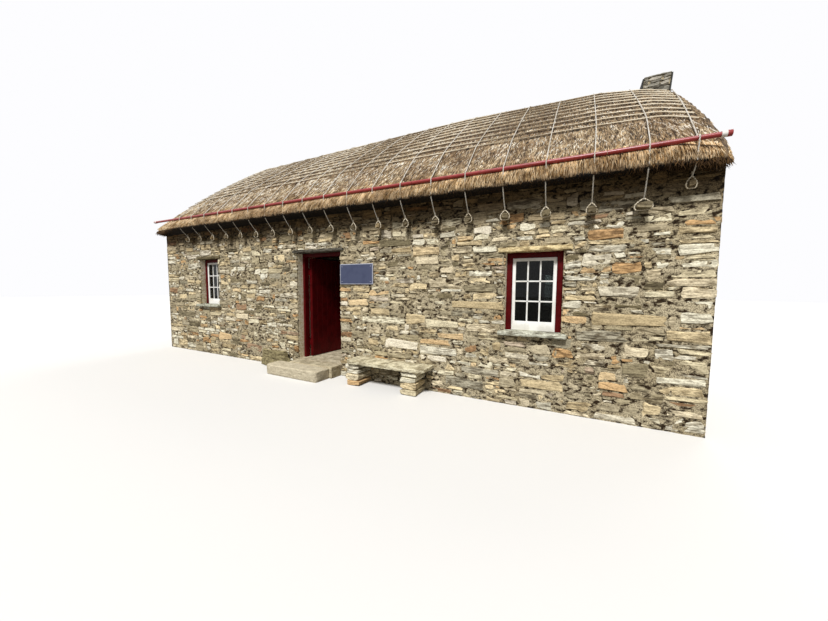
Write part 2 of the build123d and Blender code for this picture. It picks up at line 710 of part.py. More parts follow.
def peg_level(x):
    """Height of a peg: the line of pegs falls slightly towards the chimney end."""
    return WALL_HEAD - PEG_DROP - PEG_LINE_FALL * x / HALF_LENGTH


def rope_front_points(foot_x, top_x, lean_runs=1, peg_rise=0):
    """Front half of a rope, from its peg to the ridge; it leans to top_x over its lowest flank runs."""
    shape = station_at(foot_x)
    clear = ROPE_RADIUS + ROPE_SEAT_GAP
    over_lines = clear + 2 * LINE_CLEAR
    peg_top = Vector(
        foot_x, -HALF_WIDTH - PEG_ROPE_REACH, peg_level(foot_x) + peg_rise + PEG_HEIGHT / 2 + SEAT_GAP
    )
    foot = lip_foot(shape)
    turn = (POLE_RADIUS + clear) / cos(radians(ROPE_TURN / 2))
    points = [
        peg_top,
        peg_top + Vector(0, 0, ROPE_PEG_RUN),
        Vector(foot_x, foot.X - clear - ROPE_RADIUS / 2, foot.Y - clear),
    ]
    for angle in (0, ROPE_TURN):
        points.append(pole_point(foot_x) + turn * Vector(0, -cos(radians(angle)), sin(radians(angle))))
    for run in range(1, FLANK_RUNS):
        x = foot_x + (top_x - foot_x) * min(1, run / lean_runs)
        on_flank = flank_point(station_at(x), run / FLANK_RUNS, over_lines)
        points.append(Vector(x, on_flank.X, on_flank.Y))
    for run in range(HALF_CROWN_RUNS + 1):
        on_crown = crown_point(station_at(top_x), run / HALF_CROWN_RUNS, over_lines)
        points.append(Vector(top_x, on_crown.X, on_crown.Y))
    return points


def add_roof_rope(front):
    """One rope from a front peg over pole, thatch and ridge, and down the same way to the back peg."""
    with BuildLine() as path:
        Polyline(*front, *[Vector(point.X, -point.Y, point.Z) for point in reversed(front[:-1])])
    with BuildSketch(Plane(origin=path.line @ 0, z_dir=path.line % 0)) as section:
        RegularPolygon(ROPE_RADIUS, 6)
    sweep(section.sketch, path=path.line, transition=Transition.RIGHT)


# Ropes side by side over the roof, and one at the end that leans all the way up to pass beside the chimney
with BuildPart() as roof_ropes:
    for foot_x, top_x in zip(ROPE_FEET, ROPE_TOPS):
        add_roof_rope(rope_front_points(foot_x, top_x))
    add_roof_rope(rope_front_points(END_ROPE_FOOT, END_ROPE_TOP, FLANK_RUNS, END_PEG_RISE))


def add_line(points, bearing):
    """Thin line laid through points, a corner of its section towards the thatch it bears on."""
    with BuildLine() as path:
        Polyline(*points)
    with BuildSketch(Plane(origin=path.line @ 0, x_dir=bearing, z_dir=path.line % 0)) as section:
        RegularPolygon(LINE_RADIUS, 6)
    sweep(section.sketch, path=path.line, transition=Transition.RIGHT)


# Thin lines along the roof under the ropes: one on the ridge up to the chimney, the rest on both flanks
FLANK_LENGTH = (flank_point((0, 0, 0, 0), 1) - flank_point((0, 0, 0, 0), 0)).length
LINE_SHARES = [1 - count * LINE_SPACING / FLANK_LENGTH for count in range(LINE_COUNT)]
RIDGE_LINE_END = CHIMNEY_X - CHIMNEY_WIDTH / 2 - THATCH_CUT_GAP

with BuildPart() as lengthwise_lines:
    ridge_places = [station[0] for station in STATIONS[:-2]] + [RIDGE_LINE_END]
    ridge_points = [crown_point(station_at(x), 1, LINE_CLEAR) for x in ridge_places]
    add_line([(x, 0, point.Y) for x, point in zip(ridge_places, ridge_points)], (0, 0, -1))
    for share in LINE_SHARES:
        flank = [(x, flank_point(shape, share, LINE_CLEAR)) for x, *shape in STATIONS]
        for side in (-1, 1):
            add_line([(x, side * -point.X, point.Y) for x, point in flank], (0, -side * SLOPE, -1))

# Pegs: flat stone pins built into the wall below each rope
PEG_PLACES = [(x, peg_level(x)) for x in ROPE_FEET]
PEG_PLACES.append((END_ROPE_FOOT, peg_level(END_ROPE_FOOT) + END_PEG_RISE))

with BuildPart() as front_pegs:
    with BuildSketch(Plane.XZ.offset(HALF_WIDTH)):
        with Locations(*PEG_PLACES):
            Polygon(
                (PEG_WIDTH / 2, 0),
                (PEG_WIDTH / 2 - PEG_SHOULDER, PEG_HEIGHT / 2),
                (-PEG_WIDTH / 2 + PEG_SHOULDER, PEG_HEIGHT / 2),
                (-PEG_WIDTH / 2, 0),
                (-PEG_WIDTH / 2 + PEG_SHOULDER, -PEG_HEIGHT / 2),
                (PEG_WIDTH / 2 - PEG_SHOULDER, -PEG_HEIGHT / 2),
            )
    extrude(amount=PEG_LENGTH)

with BuildPart() as back_pegs:
    add(front_pegs.part)
    mirror(about=Plane.XZ, mode=Mode.REPLACE)


def build_bench_pier(x):
    """Rough pier of the bench, against the wall."""
    with BuildPart() as pier:
        with BuildSketch():
            with Locations((x, FRONT_FACE)):
                Rectangle(BENCH_PIER_WIDTH, BENCH_PIER_DEPTH, align=(Align.MIN, Align.MAX))
        extrude(amount=BENCH_TOP - BENCH_SEAT_THICKNESS)
        chamfer(pier.edges().filter_by(Axis.Z).group_by(Axis.Y)[0], length=BENCH_PIER_WIDTH / 12)
    return pier


# Bench: a rough slab on two piers beside the door
BENCH_LEFT = DOORWAY_RIGHT + BENCH_FROM_DOORWAY
bench_left_pier = build_bench_pier(BENCH_LEFT)
bench_right_pier = build_bench_pier(BENCH_LEFT + BENCH_LENGTH - BENCH_PIER_WIDTH - BENCH_END_OVERHANG)

with BuildPart() as bench_seat:
    with BuildSketch(Plane.XY.offset(BENCH_TOP - BENCH_SEAT_THICKNESS)):
        with Locations((BENCH_LEFT, FRONT_FACE)):
            Rectangle(BENCH_LENGTH, BENCH_DEPTH, align=(Align.MIN, Align.MAX))
    extrude(amount=BENCH_SEAT_THICKNESS)
    chamfer(bench_seat.edges().filter_by(Axis.Z).group_by(Axis.Y)[0], length=BENCH_DEPTH / 6)
    front_edge = bench_seat.faces().sort_by(Axis.Z)[-1].edges().group_by(Axis.Y)[0]
    chamfer(front_edge, length=BENCH_SEAT_THICKNESS / 6)

with BuildPart() as sign_board:
    with BuildSketch(Plane.XZ.offset(HALF_WIDTH)):
        with Locations((DOORWAY_RIGHT + SIGN_FROM_DOORWAY, SIGN_BOTTOM)):
            Rectangle(SIGN_WIDTH, SIGN_HEIGHT, align=(Align.MIN, Align.MIN))
    extrude(amount=SIGN_THICKNESS)
    chamfer(sign_board.faces().sort_by(Axis.Y)[0].edges(), length=SIGN_THICKNESS / 6)

# Low boulder at the wall's foot, left of the door
with BuildPart() as footing_boulder:
    with BuildSketch(Plane(origin=(DOORWAY_LEFT - BOULDER_FROM_DOORWAY, FRONT_FACE, 0))):
        with BuildLine():
            Polyline(
                (0, 0),
                (-BOULDER_LENGTH, 0),
                (-BOULDER_LENGTH * 0.88, -BOULDER_DEPTH * 0.6),
                (-BOULDER_LENGTH * 0.45, -BOULDER_DEPTH),
                (-BOULDER_LENGTH * 0.08, -BOULDER_DEPTH * 0.7),
                close=True,
            )
        make_face()
    extrude(amount=BOULDER_TOP, taper=BOULDER_BATTER)

NODES = {
    "front_wall_left": front_wall_left,
    "front_wall_right": front_wall_right,
    "front_wall_over_door": front_wall_over_door,
    "back_wall_left": back_wall_left,
    "back_wall_right": back_wall_right,
    "left_gable_wall": left_gable_wall,
    "right_gable_wall": right_gable_wall,
    "floor_slab": floor_slab,
    "threshold_slab": threshold_slab,
    "upper_step": upper_step,
    "lower_step": lower_step,
    "door_lintel": door_lintel,
    "door_frame": door_frame,
    "door_leaf": door_leaf,
    "left_window_lintel": left_window_lintel,
    "left_window_sill": left_window_sill,
    "left_window_frame": left_window_frame,
    "left_window_sash": left_window_sash,
    "left_window_glass": left_window_glass,
    "right_window_lintel": right_window_lintel,
    "right_window_sill": right_window_sill,
    "right_window_frame": right_window_frame,
    "right_window_sash": right_window_sash,
    "right_window_glass": right_window_glass,
    "back_window_lintels": back_window_lintels,
    "back_window_sills": back_window_sills,
    "back_window_frames": back_window_frames,
    "back_window_sashes": back_window_sashes,
    "back_window_glass": back_window_glass,
    "thatch_roof": thatch_roof,
    "rafters": rafters,
    "collar_ties": collar_ties,
    "ridge_board": ridge_board,
    "chimney_stack": chimney_stack,
    "chimney_cap": chimney_cap,
    "front_eave_pole": front_eave_pole,
    "back_eave_pole": back_eave_pole,
    "eave_pole_caps": eave_pole_caps,
    "roof_ropes": roof_ropes,
    "lengthwise_lines": lengthwise_lines,
    "front_pegs": front_pegs,
    "back_pegs": back_pegs,
    "bench_seat": bench_seat,
    "bench_left_pier": bench_left_pier,
    "bench_right_pier": bench_right_pier,
    "sign_board": sign_board,
    "footing_boulder": footing_boulder,
}

os.makedirs("parts", exist_ok=True)
for node_name, piece in NODES.items():
    piece.part.label = node_name
    export_step(piece.part, f"parts/{node_name}.step")
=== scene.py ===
# %% [markdown]
# # A roped thatched cottage
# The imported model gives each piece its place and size, in metres: +X runs along the front towards
# the chimney, -Y points out of the front door and +Z is up. This lesson dresses it: rubble walls
# laid stone by stone, straw on the roof, ropes over it, painted timber and rough slabs.

import json
import math

import bpy
import numpy as np
from mathutils import Matrix, Vector, noise

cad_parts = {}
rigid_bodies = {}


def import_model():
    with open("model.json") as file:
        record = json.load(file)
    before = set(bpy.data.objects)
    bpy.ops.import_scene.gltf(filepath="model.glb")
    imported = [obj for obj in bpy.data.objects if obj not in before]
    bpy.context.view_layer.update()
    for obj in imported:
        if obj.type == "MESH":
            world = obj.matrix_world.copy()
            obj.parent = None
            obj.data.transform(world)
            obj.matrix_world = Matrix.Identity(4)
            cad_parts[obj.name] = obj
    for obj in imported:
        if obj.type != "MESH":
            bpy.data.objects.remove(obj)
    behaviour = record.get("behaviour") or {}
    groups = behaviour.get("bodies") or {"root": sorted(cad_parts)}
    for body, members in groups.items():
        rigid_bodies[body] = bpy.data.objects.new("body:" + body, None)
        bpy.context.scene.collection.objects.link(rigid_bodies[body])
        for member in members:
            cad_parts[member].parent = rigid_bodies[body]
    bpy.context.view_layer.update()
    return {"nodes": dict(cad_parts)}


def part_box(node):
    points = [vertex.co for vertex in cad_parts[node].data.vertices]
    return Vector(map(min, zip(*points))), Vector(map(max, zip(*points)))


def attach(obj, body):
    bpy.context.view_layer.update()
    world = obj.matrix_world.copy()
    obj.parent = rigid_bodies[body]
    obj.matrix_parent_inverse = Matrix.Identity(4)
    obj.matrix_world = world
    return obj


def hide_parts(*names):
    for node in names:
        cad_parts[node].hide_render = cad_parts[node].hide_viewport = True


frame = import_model()
nodes = frame["nodes"]

# %% [markdown]
# ## The camera
# The photograph is taken from close by with a very wide lens, from a little to the right of the
# middle. A wide lens stretches what is near, so the camera has to stand where the real one stood.

# %% The camera
EYE = Vector((4.043, -6.8, 1.585))
YAW, PITCH, ROLL = 0.475, 0.0725, 0.00696
FOCAL_PIXELS, PHOTO_WIDTH = 311.0, 828

ahead = Vector((-math.sin(YAW) * math.cos(PITCH), math.cos(YAW) * math.cos(PITCH), -math.sin(PITCH)))
right = Vector((math.cos(YAW), math.sin(YAW), 0))
up = right.cross(ahead)
rolled_right = right * math.cos(ROLL) + up * math.sin(ROLL)
rolled_up = up * math.cos(ROLL) - right * math.sin(ROLL)
turn = Matrix((rolled_right, rolled_up, -ahead)).transposed()

bpy.ops.object.camera_add()
camera = bpy.context.object
camera.matrix_world = Matrix.Translation(EYE) @ turn.to_4x4()
camera.data.lens = FOCAL_PIXELS / PHOTO_WIDTH * camera.data.sensor_width
camera.data.clip_end = 500
bpy.context.scene.camera = camera
print("lens", round(camera.data.lens, 2), "mm")

# %% [markdown]
# ## Light and floor
# A high sun from the front gives each stone a lit top and a dark joint and puts the wall under the
# eave in shade. A white sky and a weak broad lamp from behind fill the rest. The level is plain, so
# that a colour renders about as it is written.

# %% Colours and nodes
bpy.context.scene.view_settings.view_transform = "Standard"
TINT = {"data_type": "RGBA", "blend_type": "MULTIPLY"}


def linear(code):
    """An sRGB hex colour as the linear colour that the shaders take."""
    parts = [int(code[at : at + 2], 16) / 255 for at in (0, 2, 4)]
    return [c / 12.92 if c <= 0.04045 else ((c + 0.055) / 1.055) ** 2.4 for c in parts] + [1.0]


def add_node(tree, kind, settings=None, inputs=None, stops=None):
    """Add a shader node with its settings, values or links and a ramp's stops, and give its outputs."""
    added = tree.nodes.new("ShaderNode" + kind)
    for key, value in (settings or {}).items():
        setattr(added, key, value)
    for key, value in (inputs or {}).items():
        if isinstance(value, bpy.types.NodeSocket):
            tree.links.new(value, added.inputs[key])
        else:
            added.inputs[key].default_value = value
    for at, (place, code) in enumerate(stops or ()):
        ramp = added.color_ramp
        stop = ramp.elements[at] if at < 2 else ramp.elements.new(place)
        stop.position, stop.color = place, linear(code)
    return added.outputs


def evenly(*codes):
    """Colours as a ramp's stops at even steps."""
    return [(at / (len(codes) - 1), code) for at, code in enumerate(codes)]


# %% Sky and sun
SKY_STRENGTH = 0.36
# Strength, spread, tilt and roll of the sun and of the weak lamp behind the house
SUN, FILL = (3.6, 10, 42, 5), (1.2, 60, -60, 8)

world = bpy.data.worlds.new("bright sky")
bpy.context.scene.world = world
world.use_nodes = True
tree = world.node_tree
sky = tree.nodes["Background"]
sky.inputs["Color"].default_value = linear("FDFDFF")
rays = add_node(tree, "LightPath")
either = {"operation": "MAXIMUM"}
seen = add_node(tree, "Math", either, {0: rays["Is Camera Ray"], 1: rays["Is Glossy Ray"]})[0]
seen = add_node(tree, "Math", either, {0: seen, 1: rays["Is Transmission Ray"]})[0]
level = add_node(tree, "Mix", {"data_type": "FLOAT"}, {0: seen, 2: SKY_STRENGTH, 3: 1.0})[0]
tree.links.new(level, sky.inputs["Strength"])

for strength, spread, tilt, roll in (SUN, FILL):
    bpy.ops.object.light_add(type="SUN", rotation=(math.radians(tilt), math.radians(roll), 0))
    bpy.context.object.data.energy = strength
    bpy.context.object.data.angle = math.radians(spread)

# %% Floor
bpy.ops.mesh.primitive_circle_add(radius=60, vertices=96, fill_type="NGON")
floor = bpy.context.object
floor.name = "floor"
pale_floor = bpy.data.materials.new("pale floor")
pale_floor.use_nodes = True
tree = pale_floor.node_tree
seen = add_node(tree, "LightPath")["Is Camera Ray"]
shade = add_node(tree, "Mix", {"data_type": "RGBA"}, {0: seen, 6: linear("7A766E"), 7: linear("E9E7E3")})
tree.links.new(shade[2], tree.nodes["Principled BSDF"].inputs["Base Color"])
tree.nodes["Principled BSDF"].inputs["Roughness"].default_value = 0.9
floor.data.materials.append(pale_floor)

# %% [markdown]
# ## Finishes
# Every finish starts from what the real one is. Its shader is a Principled BSDF, and its patterns
# read Object coordinates, which are metres here, so a scale is one over a real size.

# %% Helpers for finishes
EVEN = (1, 1, 1)


def start_finish(name, roughness, specular=0.3):
    """A new material, its tree, its shader and its object coordinates."""
    material = bpy.data.materials.new(name)
    material.use_nodes = True
    tree = material.node_tree
    shader = tree.nodes["Principled BSDF"]
    shader.inputs["Roughness"].default_value = roughness
    shader.inputs["Specular IOR Level"].default_value = specular
    return material, tree, shader, add_node(tree, "TexCoord")["Object"]


def weather(tree, shader, colour, layers):
    """Lay patterns over a colour, each one darkening and denting the surface in the same places.

    A layer is the coordinates it reads, its size in metres, its stretch along the three axes, how
    much it darkens, its darker colour, and its depth in metres.
    """
    normal = None
    for spot, size, stretch, share, dark, depth in layers:
        scale = [1 / (size * part) for part in stretch]
        placed = add_node(tree, "Mapping", {}, {0: spot, "Scale": scale})[0]
        noisy = {"Vector": placed, "Scale": 1.0, "Detail": 5.0}
        height = add_node(tree, "TexNoise", {}, noisy)["Fac"]
        shade = add_node(tree, "ValToRGB", {}, {0: height}, ((0.38, dark), (0.54, "FFFFFF")))[0]
        colour = add_node(tree, "Mix", TINT, {0: share, 6: colour, 7: shade})[2]
        dent = {"Height": height, "Distance": depth, "Strength": 1.0}
        if normal:
            dent["Normal"] = normal
        normal = add_node(tree, "Bump", {}, dent)[0]
    tree.links.new(colour, shader.inputs["Base Color"])
    tree.links.new(normal, shader.inputs["Normal"])


# %% [markdown]
# ### Split schist
# The walls are schist, split along its layers and laid on them, so each stone shows thin level
# streaks. Stones come cream, buff, grey and rusty, so each one carries its own number, and a ramp
# turns the number into its colour.

# %% Split schist
SCHIST_COLOURS = (
    (0.00, "7C7052"), (0.09, "EADBB4"), (0.16, "FFF6D6"), (0.24, "FFFAE4"), (0.32, "A89A7A"),
    (0.40, "FCECC8"), (0.50, "857A5C"), (0.60, "FFF8E0"), (0.70, "CDB88E"), (0.84, "FFEABC"),
    (0.90, "DCB27C"), (0.94, "B08A66"), (0.97, "FAF0D8"),
)
# Heights and reach of the painted shade under the eaves, which also stands for soot and dust
SHADE_AND_SOOT_FROM, SHADE_AND_SOOT_TO, OUTER_FACES = 2.35, 2.75, 2.3


def eave_shade_and_soot(tree, spot, colour):
    """The top of the long walls is darker: painted shade under the eave, and soot and dust that rain never
    washes off.
    """
    axes = add_node(tree, "SeparateXYZ", {}, {0: spot})
    high = add_node(tree, "MapRange", {}, {0: axes[2], 1: SHADE_AND_SOOT_FROM, 2: SHADE_AND_SOOT_TO})[0]
    distance = add_node(tree, "Math", {"operation": "ABSOLUTE"}, {0: axes[1]})[0]
    outside = add_node(tree, "Math", {"operation": "GREATER_THAN"}, {0: distance, 1: OUTER_FACES})[0]
    share = add_node(tree, "Math", {"operation": "MULTIPLY"}, {0: high, 1: outside})[0]
    # A brown tint: painted shade of the eave, together with soot and dust
    return add_node(tree, "Mix", TINT, {0: share, 6: colour, 7: linear("8F7F6A")})[2]


def make_schist(name, stops, streaks=0.6, dark="5C503E"):
    """Layered stone: level streaks, soft stains and fine specks over each stone's own colour."""
    material, tree, shader, spot = start_finish(name, 0.88)
    own = add_node(tree, "Attribute", {"attribute_name": "stone"})["Fac"]
    colour = add_node(tree, "ValToRGB", {}, {0: own}, stops)[0]
    # Some stones split clean, and others show every layer
    luck = add_node(tree, "TexWhiteNoise", {"noise_dimensions": "1D"}, {"W": own})["Value"]
    share = add_node(tree, "MapRange", {}, {0: luck, 3: streaks * 0.15, 4: streaks * 1.5})[0]
    weather(tree, shader, eave_shade_and_soot(tree, spot, colour), (
        (spot, 0.016, (9, 9, 1), share, dark, 0.004),
        (spot, 0.045, (2.2, 2.2, 0.8), share, "75664C", 0.010),
        (spot, 0.014, (1.6, 1.6, 1), 0.35, dark, 0.003),
    ))
    return material


split_schist = make_schist("split schist", SCHIST_COLOURS)
pale_slab = make_schist("pale sandy slab", evenly("F6DDA0", "FFEDBC", "F0DCA8"), 0.5, "A08A62")
grey_slab = make_schist("grey weathered slab", evenly("C8CAB6", "DADAC6", "BEC0AA"))
bench_slab = make_schist("pale bench slab", evenly("DCD2B0", "EAE2C4", "D4CAA8"), dark="8C7E5E")
mossy_rock = make_schist("mossy rock", evenly("A0946C", "B0A47E", "8E8462"))
flagstone = make_schist("trodden flagstone", evenly("CEC2A6", "D8CDB2", "C6BA9C"), 0.45, "9A8A72")
dark_slate = make_schist("dark slate", ((0.0, "3E403F"), (0.2, "6C685C"), (1.0, "77726A")))
rubble_shades = ((0.0, "8E8A7E"), (0.3, "C9C2B2"), (0.6, "A9A598"), (1.0, "9A9688"))
chimney_rubble = make_schist("sooty chimney rubble", rubble_shades, 0.7)

# %% [markdown]
# ### Lime mortar
# Lime mortar is sandy and smeared over the stones' edges. It shows as a grey-brown field with
# grit and soft lumps.

# %% Lime mortar


def make_mortar(name, code, dark):
    """Sandy mortar: soft lumps, grit and broad weathering."""
    material, tree, shader, spot = start_finish(name, 0.95, 0.2)
    weather(tree, shader, eave_shade_and_soot(tree, spot, linear(code)), (
        (spot, 0.50, EVEN, 0.5, "C9C0AE", 0.001),
        (spot, 0.035, (1.5, 1.5, 1), 1.0, dark, 0.012),
        (spot, 0.010, EVEN, 0.8, dark, 0.003),
    ))
    return material


lime_mortar = make_mortar("lime mortar", "CABC9C", "46392A")
smooth_render = make_mortar("smooth lime render", "FFFAE8", "E4DCC8")
limewash = make_mortar("limewash", "FAF7EE", "EAE4D6")

# %% [markdown]
# ### Straw
# Each straw carries its own number for its colour, from bleached to weathered brown. Under the
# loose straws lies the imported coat. It has its own map, metres along the roof and metres down the
# slope, so that its streaks follow the straw wherever the roof bends.

# %% Straw
GOLDEN_FROM, GOLDEN_TO = 2.45, 2.65

loose_straw, tree, shader, spot = start_finish("bleached straw", 0.75)
own = add_node(tree, "Attribute", {"attribute_name": "straw"})["Fac"]
straw_colours = evenly("3E3022", "6C573C", "A58C68", "E0CCA8", "FFFAEC")
colour = add_node(tree, "ValToRGB", {}, {0: own}, straw_colours)[0]
# The eaves stay golden where the slopes bleach
axes = add_node(tree, "SeparateXYZ", {}, {0: spot})
distance = add_node(tree, "Math", {"operation": "ABSOLUTE"}, {0: axes[1]})[0]
at_eaves = add_node(tree, "MapRange", {}, {0: distance, 1: GOLDEN_FROM, 2: GOLDEN_TO})[0]
colour = add_node(tree, "Mix", TINT, {0: at_eaves, 6: colour, 7: linear("FCECD2")})[2]
weather(tree, shader, colour, (
    (spot, 0.6, EVEN, 0.5, "C2B3A6", 0.001),
    (spot, 0.10, EVEN, 0.5, "9C8C78", 0.001),
))

packed_straw, tree, shader, spot = start_finish("packed straw", 0.9)
roof_map = add_node(tree, "UVMap", {"uv_map": "slope"})[0]
coat_shade_and_dust = add_node(tree, "Attribute", {"attribute_name": "painted_shade_and_dust"})["Fac"]
# Near the lines and on the lower face the coat is darker: painted shade, and on the lower face dust and
# old straw too
shades = {0: coat_shade_and_dust, 6: linear("A89070"), 7: linear("22170D")}
colour = add_node(tree, "Mix", {"data_type": "RGBA"}, shades)[2]
# Real straws are 4 mm wide, too fine to show from here, so the streaks are 12 mm wide
weather(tree, shader, colour, (
    (spot, 0.6, EVEN, 0.6, "C2B3A6", 0.001),
    (roof_map, 0.06, (1, 4, 1), 0.8, "6A5A48", 0.012),
    # The darkest streaks are painted shade in the gaps between straws
    (roof_map, 0.012, (1, 14, 1), 1.0, "2C2116", 0.006),
))

# %% [markdown]
# ### Paint, glass, rope and timber
# The joinery is brushed gloss paint, so it has faint vertical brush marks and a soft shine. Old
# rope is dull and dirty in its grooves. Window glass is clear, and the dark room behind it makes it
# look black.

# %% Paint


def make_paint(name, code, worn, roughness, specular=0.12):
    """Brushed gloss paint with faint brush marks and thin wear."""
    material, tree, shader, spot = start_finish(name, roughness, specular)
    weather(tree, shader, linear(code), (
        (spot, 0.12, EVEN, 0.5, worn, 0.0003),
        (spot, 0.003, (1, 1, 40), 0.15, "D8D4D0", 0.0004),
    ))
    return material


maroon_gloss = make_paint("maroon gloss paint", "56070A", "B09090", 0.5)
white_gloss = make_paint("white gloss paint", "F4F3EE", "E2DED4", 0.4)
sign_blue = make_paint("blue-grey sign enamel", "4C526A", "D8DAE2", 0.45)
sign_edge = make_paint("pale sign edge", "B4B7C4", "D0D2DA", 0.45)
red_oxide = make_paint("red oxide pole paint", "9A3634", "C8B0A8", 0.3, 0.5)
white_tape = make_paint("white end cap", "F0ECE6", "C8BEB2", 0.5)
roof_timber = make_paint("rough roof timber", "6A5137", "A89880", 0.85)

window_glass, _, shader, _ = start_finish("window glass", 0.02, 0.5)
shader.inputs["Base Color"].default_value = linear("5A6260")
shader.inputs["IOR"].default_value = 1.3
shader.inputs["Transmission Weight"].default_value = 1.0

# %% Rope


def make_rope_finish(name, pale, dirty):
    """Weathered rope: dirt gathers in the grooves between its strands."""
    material, tree, shader, spot = start_finish(name, 0.85)
    weather(tree, shader, linear(pale), (
        (spot, 0.15, EVEN, 0.5, "C4BAA8", 0.0005),
        (spot, 0.004, EVEN, 0.6, dirty, 0.002),
    ))
    return material


white_rope = make_rope_finish("weathered white rope", "EFEAE0", "BDB29E")
tan_rope = make_rope_finish("bleached sisal line", "F2E8D2", "C9B894")
print("finishes", len(bpy.data.materials))

# %% [markdown]
# ## Helpers for shapes
# An operator acts on all that is selected, so each step first selects its one object.

# %% Helpers for shapes


def only(piece):
    """Select one object and make it the active one."""
    bpy.ops.object.select_all(action="DESELECT")
    piece.select_set(True)
    bpy.context.view_layer.objects.active = piece


def edit_all(piece):
    """Open a mesh for editing, with all of it selected."""
    only(piece)
    bpy.ops.object.mode_set(mode="EDIT")
    bpy.ops.mesh.select_all(action="SELECT")


def close_edit():
    """Close the mesh that is being edited."""
    bpy.ops.object.mode_set(mode="OBJECT")


def dress(piece, name, material, body, slot, *replaced):
    """Name a finished piece, give it its finish and body, and hide the CAD nodes that it stands for."""
    piece.name = name
    piece.data.materials.clear()
    piece.data.materials.append(material)
    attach(piece, body)
    if replaced:
        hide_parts(*replaced)
    return piece


def apply_all(piece):
    """Apply the piece's modifiers in their order."""
    only(piece)
    for modifier in list(piece.modifiers):
        bpy.ops.object.modifier_apply(modifier=modifier.name)


def new_object(name, data):
    """An object in the scene for a mesh or a curve."""
    piece = bpy.data.objects.new(name, data)
    bpy.context.scene.collection.objects.link(piece)
    return piece


def mesh_piece(name, points, faces):
    """A new object from points and faces."""
    mesh = bpy.data.meshes.new(name)
    mesh.from_pydata(points, [], faces)
    return new_object(name, mesh)


def set_number(piece, name, values):
    """A number for each point, for a material to read."""
    numbers = piece.data.attributes.new(name, "FLOAT", "POINT")
    numbers.data.foreach_set("value", np.asarray(values, np.float32))


def copy_node(node):
    """A copy of a CAD node with its loose triangles merged into flat faces."""
    piece = new_object(node + "_copy", nodes[node].data.copy())
    edit_all(piece)
    bpy.ops.mesh.remove_doubles(threshold=0.00005)
    bpy.ops.mesh.dissolve_limited(angle_limit=math.radians(1))
    close_edit()
    return piece


def rough_stone(node, name, material, slot, voxel=0.012, depth=0.012, size=0.09, seed=0):
    """A CAD slab as worn stone: a fine skin over it, pushed in and out by clouds of two sizes."""
    piece = copy_node(node)
    skin = piece.modifiers.new("skin", "REMESH")
    skin.mode, skin.voxel_size = "VOXEL", voxel
    for share, width in ((1.0, size), (0.45, size / 4)):
        clouds = bpy.data.textures.new(name + " clouds", "CLOUDS")
        clouds.noise_scale = width
        push = piece.modifiers.new("push", "DISPLACE")
        push.texture, push.strength, push.mid_level = clouds, -depth * share, 0.35
        push.texture_coords = "LOCAL"
    apply_all(piece)
    bpy.ops.object.shade_smooth_by_angle(angle=math.radians(35))
    set_number(piece, "stone", np.full(len(piece.data.vertices), (seed * 0.37) % 1))
    return dress(piece, name, material, "cottage", slot, node)


def bevelled_node(node, name, material, body, slot, width=0.003):
    """A CAD node with its edges eased, as paint and wear leave them."""
    piece = copy_node(node)
    ease = piece.modifiers.new("ease", "BEVEL")
    ease.width, ease.segments, ease.limit_method = width, 2, "ANGLE"
    apply_all(piece)
    bpy.ops.object.shade_smooth_by_angle(angle=math.radians(30))
    return dress(piece, name, material, body, slot, node)


def joined(pieces):
    """Several objects joined into the first one."""
    bpy.ops.object.select_all(action="DESELECT")
    for piece in pieces:
        piece.select_set(True)
    bpy.context.view_layer.objects.active = pieces[0]
    bpy.ops.object.join()
    return pieces[0]


def bar(low, high, ease=0.003):
    """A bar between two corners, with eased edges."""
    middle = [(a + b) / 2 for a, b in zip(low, high)]
    bpy.ops.mesh.primitive_cube_add(size=1, location=middle)
    piece = bpy.context.object
    piece.scale = [b - a for a, b in zip(low, high)]
    bpy.ops.object.transform_apply(location=True, rotation=False, scale=True)
    edit_all(piece)
    bpy.ops.mesh.bevel(offset=ease, segments=1)
    close_edit()
    return piece


# %% [markdown]
# ## Rubble walls
# A mason lays rubble from the foot up and always fills the lowest bed next. The code does the
# same: it keeps the height of the bed along the wall, finds the lowest stretch, and sets a stone
# there. Openings, lintels and sills are in the way, so the bed steps over them.
# One wall has over a thousand stones, so a few block shapes are made once, and each stone is a
# copy of one, fitted to its place.

# %% Block shapes
BLOCK_SHAPES = 14
blocks = []
for shape in range(BLOCK_SHAPES):
    bpy.ops.mesh.primitive_cube_add(size=1)
    block = bpy.context.object
    edit_all(block)
    bpy.ops.mesh.select_mode(type="EDGE")
    bpy.ops.mesh.select_all(action="DESELECT")
    close_edit()
    for edge in block.data.edges:
        start, end = (block.data.vertices[at].co for at in edge.vertices)
        edge.select = abs(start.x - end.x) > 0.5
    bpy.ops.object.mode_set(mode="EDIT")
    bpy.ops.mesh.subdivide(number_cuts=1)
    close_edit()
    ease = block.modifiers.new("ease", "BEVEL")
    ease.width, ease.segments, ease.limit_method = 0.14, 1, "ANGLE"
    apply_all(block)
    edit_all(block)
    bpy.ops.transform.vertex_random(offset=0.13, uniform=0.5, normal=0.5, seed=shape)
    close_edit()
    corners = np.array([v.co for v in block.data.vertices])
    corners *= 1.06 / np.ptp(corners, axis=0)
    # The back lies in the mortar, so its faces are left out
    shown = [list(face.vertices) for face in block.data.polygons if max(corners[face.vertices, 1]) > -0.2]
    blocks.append((corners, shown))
    bpy.data.objects.remove(block)
print("faces a block", len(blocks[0][1]))

# %% Laying the stones
COLUMN = 0.01
# Differences of height: beds that count as one, a bed that meets an opening, a gap too thin for a
# stone, and the room under a lintel that the stone below it takes up
SAME_BED, MEETS, THIN_GAP, UNDER_LINTEL = 0.004, 0.006, 0.022, 0.03
SHORTEST, TALLEST, THINNEST, LEAST_REST = 0.07, 0.2, 0.018, 8
CORNER_HEIGHTS, CORNER_LENGTHS = (0.05, 0.09, 0.12, 0.16), (0.26, 0.62)


